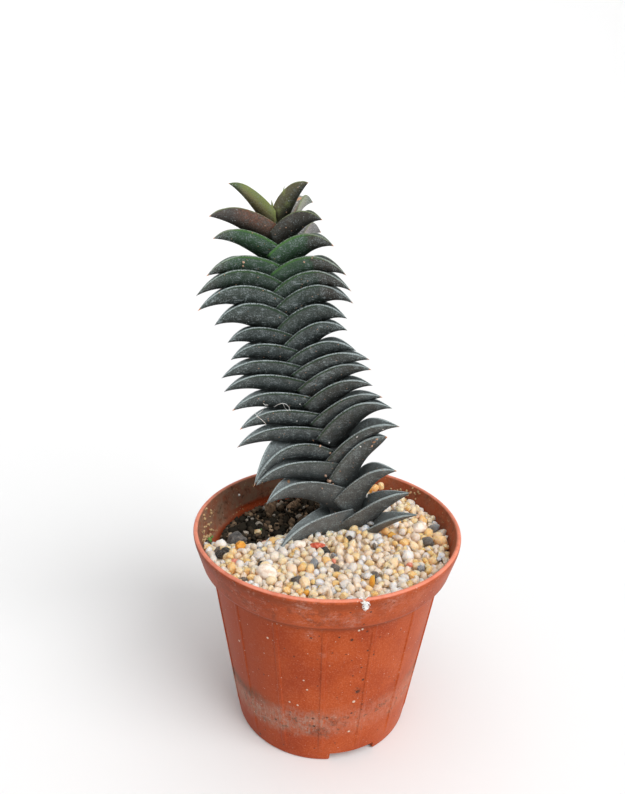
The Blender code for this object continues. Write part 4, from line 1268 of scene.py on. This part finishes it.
# The shares of quartz colours, by tone: each stop is a tone from which the next colour runs
GRAIN_TONES = (
    (0.00, (0.90, 0.48, 0.20)), (0.10, (0.91, 0.56, 0.30)), (0.22, (0.91, 0.63, 0.41)),
    (0.36, (0.88, 0.65, 0.49)), (0.50, (0.82, 0.64, 0.50)), (0.60, (0.74, 0.61, 0.51)),
    (0.68, (0.70, 0.64, 0.59)), (0.76, (0.80, 0.75, 0.71)), (0.83, (0.82, 0.70, 0.59)),
    (0.855, (0.80, 0.36, 0.06)), (0.88, (0.74, 0.24, 0.17)), (0.92, (0.22, 0.25, 0.28)),
    (0.95, (0.11, 0.10, 0.09)), (0.98, (0.022, 0.02, 0.018)),
)


def anywhere_in_pot(draw, radius):
    """Random places on the grit, clear of the wall. A place in the hollow is swapped for a fixed one
    on the grit."""
    turn = draw.uniform(0, math.tau, GRAIN_TRIES)
    out = np.sqrt(draw.random(GRAIN_TRIES)) * (inner_radius(GRIT_LEVEL) - 0.75 * radius)
    x, y = out * np.cos(turn), out * np.sin(turn)
    inside = hollow(x, y) > 0.02
    return np.where(inside, 0.62 * RIM_RADIUS, x), np.where(inside, -0.2 * RIM_RADIUS, y)


def grain_tones(draw, centres):
    """A random tone, darker and greyer at the left, where crumbs of the mix lie among the grains."""
    count = len(centres)
    tone = draw.random(count) ** 1.12
    tone = np.where((tone > 0.85) & (draw.random(count) < 0.75), draw.uniform(0.0, 0.85, count), tone)
    soiled = np.exp(-np.maximum(-hollow(centres[:, 0], centres[:, 1]), 0) / 0.36)
    chosen = draw.random(count) < 0.8 * soiled
    return np.where(chosen, np.minimum(draw.uniform(0.56, 1.12, count), 0.999), tone)


def stone_balls():
    """The stones as balls, so that the grains come to rest against them."""
    for node in STONES:
        low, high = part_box(node)
        middle, half = (low + high) / 2, (high - low) / 2
        yield (*middle, (half.x + half.y + half.z) / 3)


def make_grit_bed():
    """A wavy sheet under the grains, over the solid's own reach, closed below."""
    reach = inner_radius(GRIT_LEVEL) - BED_GAP
    out = np.linspace(0.02, 1, BED_RINGS)[:, None] * reach
    x, y = out * np.cos(turns(BED_SIDES)), out * np.sin(turns(BED_SIDES))
    top = grit_level(x, y) - BED_DROP
    shrink = np.minimum(1, (inner_radius(top) - BED_GAP) / reach)
    inside = np.clip(hollow(x, y) * 8, 0, 1)
    top = np.where(inside > 0, top * (1 - inside) + (MIX_LEVEL + 0.3 * MM) * inside, top)
    upper = np.stack([x * shrink, y * shrink, top], -1)
    lower = upper[::-1] - np.array([0, 0, BED_THICKNESS])
    middle = GRIT_LEVEL - BED_DROP
    ends = [(0, 0, middle), (0, 0, middle - BED_THICKNESS)]
    points = np.concatenate([upper.reshape(-1, 3), lower.reshape(-1, 3), ends])
    return make_mesh("grit_bed", points, closed_faces(2 * BED_RINGS, BED_SIDES, flip=True))


def paint_grit(name, **fixed):
    """Quartz by each grain's tone, clouded inside, with iron stains, and paler flecks on dark grains."""
    paint = Paint(name, Roughness=0.42, Specular_IOR_Level=0.3, **fixed)
    tone, own = paint.attribute("tone"), paint.attribute("own")
    cloud, fine = paint.noise(0.55, 3, 0.6), paint.noise(0.16, 2, 0.6)
    pale, dark = tone.within(0.86, 0.85), tone.within(0.90, 0.92)
    base = paint.ramp(tone, *GRAIN_TONES, step=True)
    base = paint.mix(own * 0.3, base, paint.tinted(base, (0.80, 0.72, 0.64)))
    base = paint.mix(cloud.within(0.50, 0.68) * pale * 0.3, base, (0.92, 0.84, 0.74))
    paint.colour(paint.cover(
        base,
        (cloud.within(0.46, 0.34) * 0.3, paint.tinted(base, (0.86, 0.62, 0.40))),
        (dark * fine.within(0.5, 0.66) * 0.5, (0.30, 0.28, 0.26)),
    ))
    paint.roughness(cloud * 0.3 + dark * 0.3 + 0.36)
    paint.relief(cloud + fine * 0.5, 0.08)
    return paint


def paint_bed():
    """Beige and brown, like grains in shade."""
    paint = Paint("grit_bed", Roughness=0.9)
    stops = (0.1, (0.76, 0.52, 0.29)), (0.5, (0.82, 0.65, 0.42)), (0.9, (0.72, 0.64, 0.54))
    paint.colour(paint.ramp(paint.cells(1.2), *stops))
    paint.relief(paint.dots(1.2), 0.5)
    return paint


finish_piece(make_grit_bed(), paint_bed(), "quartz_grit", "grit")
grit_draw = np.random.default_rng(SEED + 31)
marked = [(*pixel_at_height(x, y, z * MM)[:2], z * MM, radius * MM) for x, y, z, radius, _ in MARKED_GRAINS]
fixed_balls = list(stone_balls()) + marked
grain_radii = grit_draw.lognormal(math.log(GRAIN_RADIUS), GRAIN_SPREAD, GRAIN_COUNT)
centres, sizes = pour(
    grit_draw, np.clip(grain_radii, *GRAIN_LIMITS) * MM, anywhere_in_pot,
    lambda x, y: grit_level(x, y) - BED_DROP,
    lambda x, y: grit_level(x, y) + GRIT_ROOM,
    fixed_balls,
)
tones = grain_tones(grit_draw, centres)
tones[len(STONES):len(fixed_balls)] = [grain[-1] for grain in MARKED_GRAINS]
centres, sizes, tones = (values[len(STONES):] for values in (centres, sizes, tones))
shapes, shape_faces = grain_shapes(grit_draw, GRAIN_SHAPES, 20)
clear = (tones < 0.40) | ((tones > 0.66) & (tones < 0.83))
for name, chosen, glow in (("grit_clear", clear, 1.0), ("grit_opaque", ~clear, 0.8)):
    grains = scatter(name, grit_draw, centres[chosen], sizes[chosen], shapes, shape_faces, tones[chosen])
    finish = paint_grit(
        name, Subsurface_Weight=glow, Subsurface_Radius=(1.0, 0.8, 0.6), Subsurface_Scale=2.8 * MM
    )
    grains.data.set_sharp_from_angle(angle=math.radians(40))
    finish_piece(grains, finish, "quartz_grit")

# Potting mix fills the pot below the grit and shows in the hollow: black crumbs of peat with tan bits
# of fibre. The solid itself stays, and loose crumbs lie on it.

CRUMB_COUNT = 1500
CRUMB_RADIUS = 0.66
CRUMB_SPREAD = 0.38
CRUMB_LIMITS = (0.3, 1.6)
CRUMB_TONES = (
    (0.0, (0.020, 0.017, 0.012)), (0.50, (0.042, 0.033, 0.022)), (0.72, (0.095, 0.066, 0.042)),
    (0.83, (0.22, 0.15, 0.095)), (0.91, (0.42, 0.29, 0.18)), (0.965, (0.46, 0.42, 0.36)),
)


def anywhere_in_hollow(draw, radius):
    """Random places in the hollow and just past its edge, clear of the wall."""
    turn, share = draw.uniform(0, math.tau, GRAIN_TRIES), np.sqrt(draw.random(GRAIN_TRIES)) * 1.12
    across, along = share * HOLLOW_RADII[0] * np.cos(turn), share * HOLLOW_RADII[1] * np.sin(turn)
    x = HOLLOW_CENTRE[0] + across * math.cos(HOLLOW_TURN) - along * math.sin(HOLLOW_TURN)
    y = HOLLOW_CENTRE[1] + across * math.sin(HOLLOW_TURN) + along * math.cos(HOLLOW_TURN)
    limit = inner_radius(40 * MM) - radius
    pull = np.minimum(1, limit / np.hypot(x, y))
    return x * pull, y * pull


def paint_soil(name, by_tone):
    """Nearly black peat, with brown fibres."""
    paint = Paint(name, Roughness=0.95, Specular_IOR_Level=0.2)
    fine = paint.noise(0.5, 4, 0.7)
    value = paint.attribute("tone") if by_tone else paint.cells(1.4)
    base = paint.ramp(value, *CRUMB_TONES)
    paint.colour(paint.mix(fine.within(0.56, 0.72) * 0.4, base, (0.12, 0.08, 0.05)))
    paint.relief(fine, 0.35)
    return paint


mix_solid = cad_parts["potting_mix"]
mix_solid.data.materials.clear()
mix_solid.data.materials.append(paint_soil("potting_mix", False).material)
crumb_draw = np.random.default_rng(SEED + 47)
crumb_radii = crumb_draw.lognormal(math.log(CRUMB_RADIUS), CRUMB_SPREAD, CRUMB_COUNT)
crumb_centres, crumb_sizes = pour(
    crumb_draw, np.clip(crumb_radii, *CRUMB_LIMITS) * MM, anywhere_in_hollow,
    lambda x, y: mix_level(x, y) + 0.2 * MM,
    lambda x, y: mix_level(x, y) + 3.4 * MM - 1.6 * MM * np.clip(hollow(x, y), 0, 1),
    list(stone_balls()),
)
crumb_centres, crumb_sizes = crumb_centres[len(STONES):], crumb_sizes[len(STONES):]
crumb_shapes, crumb_faces = grain_shapes(crumb_draw, GRAIN_SHAPES, 22, 0.5)
crumb_tones = crumb_draw.random(len(crumb_centres))
crumbs = scatter(
    "soil_crumbs", crumb_draw, crumb_centres, crumb_sizes, crumb_shapes, crumb_faces, crumb_tones
)
finish_piece(crumbs, paint_soil("soil_crumbs", True), "potting_mix")

# Small litter lies about, placed by the photograph's pixels: white threads on the leaves, tan flakes
# and white specks, sand and bits of moss on the pot's inner wall, and fluff over the rim in front.

THREAD_RADIUS = 0.055 * MM
THREAD_STEPS = 20
THREAD_LIFT = 0.2 * MM
# Each thread runs through these pixels
THREADS = (
    ((254, 412), (258, 417), (262, 420), (266, 424)),
    ((256, 417), (258, 414), (262, 411), (265, 407)),
    ((274, 407), (278, 404.5), (282, 403.3), (286, 404), (289, 407), (290, 411)),
    ((283, 404), (285, 408), (288, 411)),
    ((263, 403), (265, 405), (268, 405)),
)
# (pixel x, pixel y, radius in millimetres)
TAN_FLAKES = ((325.5, 475.5, 0.45), (329, 481, 0.55), (333, 484, 0.35), (374, 442, 0.5), (377, 439, 0.4),
              (372, 446, 0.35), (288.5, 481.5, 0.45), (313, 440, 0.35), (320, 446, 0.3), (330, 453, 0.35),
              (322, 488, 0.3), (248, 391, 0.35), (243, 266, 0.35), (243.5, 262, 0.3), (240, 255, 0.2),
              (304, 262, 0.3), (312, 258, 0.22), (340, 471, 0.25), (254, 487, 0.3), (335, 512, 0.25))
WHITE_SPECKS = ((366.5, 495.5, 0.5), (310.5, 507, 0.25), (360.5, 446.5, 0.25), (329, 442.5, 0.2),
                (357, 437, 0.2), (383, 429.5, 0.2), (300, 404, 0.15), (297, 421, 0.15))
MOSS = ((210, 540, 43.6, 0.6), (212, 537, 43.4, 0.45), (262, 546, 43.0, 0.5), (261, 530, 41.5, 0.35))
# The middle of the sand on the left wall runs through these pixels
WALL_SAND = ((212, 509), (208, 521), (205, 531), (203.5, 541), (205, 549))
SAND_GRAINS = 48
# More sand lies between these columns and these rows of pixels, and one white speck shows at its own
RIGHT_SAND = ((390, 420), (488, 500))
RIGHT_SAND_GRAINS = 24
WALL_SPECK = (239, 495)
# How far from the eye the inner wall is looked for
WALL_SEARCH = np.linspace(0.10, 0.20, 1000)
FLUFF_ANGLE = math.radians(-77.2)
FLUFF_FIBRES = 110
LITTER_TONES = (
    (0.0, (0.52, 0.33, 0.23)), (0.3, (0.38, 0.21, 0.12)), (0.5, (0.86, 0.84, 0.80)),
    (0.7, (0.48, 0.32, 0.16)), (0.9, (0.11, 0.23, 0.05)),
)


def plant_depth(way):
    """How far the plant's skin is from the eye in a direction, or not a number past its outline."""
    found = plant_tree.ray_cast(Vector(EYE), Vector(way))[3]
    return math.nan if found is None else found


def on_plant(x, y):
    """The point of the plant that a pixel shows."""
    return EYE + pixel_ray(x, y) * plant_depth(pixel_ray(x, y))


def on_wall(x, y):
    """The point of the pot's far inner wall that a pixel shows."""
    path = EYE + pixel_ray(x, y) * WALL_SEARCH[:, None]
    inside = np.hypot(path[:, 0], path[:, 1]) < inner_radius(path[:, 2]) - 0.15 * MM
    return path[np.flatnonzero(inside)[-1]]


def rods(name, paths, radius, sides=6):
    """Round rods along paths, closed at both ends."""
    parts, faces, count = [], [], 0
    turn = turns(sides)[:, None]
    for path in paths:
        along = np.gradient(path, axis=0)
        along /= np.linalg.norm(along, axis=1)[:, None]
        side = np.cross(along, (0.31, 0.87, 0.38))
        side /= np.linalg.norm(side, axis=1)[:, None]
        up = np.cross(along, side)
        rings = path[:, None] + radius * (np.cos(turn) * side[:, None] + np.sin(turn) * up[:, None])
        parts += [rings.reshape(-1, 3), path[[0, -1]]]
        faces += [part + count for part in closed_faces(len(path), sides)]
        count += len(path) * sides + 2
    return make_mesh(name, np.concatenate(parts), faces)


def thread_path(pixels):
    """A thread's way over the leaves, lifted a little, and smooth where it bridges a gap."""
    steps = np.linspace(0, len(pixels) - 1, THREAD_STEPS)
    x, y = (np.interp(steps, range(len(pixels)), column) for column in zip(*pixels))
    ways = np.array([pixel_ray(*place) for place in zip(x, y)])
    depth = np.array([plant_depth(way) for way in ways])
    depth = np.where(np.isnan(depth), np.nanmedian(depth), depth)
    smooth = np.convolve(np.pad(depth, 2, mode="edge"), np.full(5, 0.2), mode="valid")
    return EYE + ways * (np.minimum(smooth, depth) - THREAD_LIFT)[:, None]


def fluff_path(draw):
    """A short curled fibre in the clump that lies over the rim and hangs down outside."""
    t = np.linspace(0, 1, 10)
    start, length = draw.random() ** 1.7, draw.uniform(0.3, 0.9)
    hang = start * 2.4
    sway = draw.normal(0, 0.32 - 0.2 * start) + length * t * draw.uniform(-1, 1)
    sway = sway + 0.12 * np.sin(t * draw.uniform(4, 9)) + 0.6 * start
    out = np.where(hang < 0.4, -0.5, 0.05) + 0.25 * np.sin(t * math.pi) * draw.random() + 0.1
    drop = hang + length * t * draw.uniform(-0.6, 0.9)
    radius = np.minimum(RIM_RADIUS / MM - 0.1 * np.maximum(drop, 0), RIM_RADIUS / MM) + out
    x = radius * math.cos(FLUFF_ANGLE) - sway * math.sin(FLUFF_ANGLE)
    y = radius * math.sin(FLUFF_ANGLE) + sway * math.cos(FLUFF_ANGLE)
    return np.stack([x, y, POT_HEIGHT / MM + 0.15 - drop], -1) * MM


def paint_fibre():
    """Off-white, browner in places."""
    paint = Paint("fibre", Roughness=0.9)
    stops = (0.34, (0.60, 0.47, 0.36)), (0.44, (0.84, 0.80, 0.74)), (0.56, (0.90, 0.90, 0.89))
    paint.colour(paint.ramp(paint.noise(0.8, 3), *stops))
    return paint


def paint_litter():
    """Tan, white, honey or green, by each piece's tone."""
    paint = Paint("litter", Roughness=0.8)
    paint.colour(paint.ramp(paint.attribute("tone"), *LITTER_TONES, step=True))
    return paint


litter_draw = np.random.default_rng(SEED + 61)
paths = [thread_path(pixels) for pixels in THREADS]
paths += [fluff_path(litter_draw) for _ in range(FLUFF_FIBRES)]
finish_piece(rods("threads", paths, THREAD_RADIUS), paint_fibre(), "bark")

sand_x, sand_y = (
    np.interp(litter_draw.uniform(0, len(WALL_SAND) - 1, SAND_GRAINS), range(len(WALL_SAND)), column)
    + litter_draw.normal(0, 1.3, SAND_GRAINS) * spread
    for column, spread in zip(zip(*WALL_SAND), (1.0, 0.3))
)
# (place, radius in millimetres, tone)
litter = [(on_plant(x, y), 0.9 * radius, litter_draw.uniform(0, 0.45)) for x, y, radius in TAN_FLAKES]
litter += [(on_plant(x, y), radius, 0.6) for x, y, radius in WHITE_SPECKS]
litter += [(on_wall(*WALL_SPECK), 0.4, 0.6)]
litter += [(pixel_at_height(x, y, z * MM), radius, 0.95) for x, y, z, radius in MOSS]
litter += [(on_wall(x, y), litter_draw.uniform(0.22, 0.42), 0.8) for x, y in zip(sand_x, sand_y)]
for _ in range(RIGHT_SAND_GRAINS):
    x, y = (litter_draw.uniform(*limits) for limits in RIGHT_SAND)
    litter += [(on_wall(x, y), 0.3, 0.8)]
# Left out are pieces whose pixel misses the plant, and sand and moss that would be at the rim
litter = [piece for piece in litter if np.isfinite(piece[0]).all()]
litter = [piece for piece in litter if piece[0][2] < POT_HEIGHT - 0.6 * MM or piece[2] < 0.7]
litter_places, litter_radii, litter_tones = (np.array(values) for values in zip(*litter))
flake_shapes, flake_faces = grain_shapes(litter_draw, 8, 22, 0.4)
bits = scatter("litter", litter_draw, litter_places, litter_radii * MM, flake_shapes, flake_faces, litter_tones)
finish_piece(bits, paint_litter(), "bark")
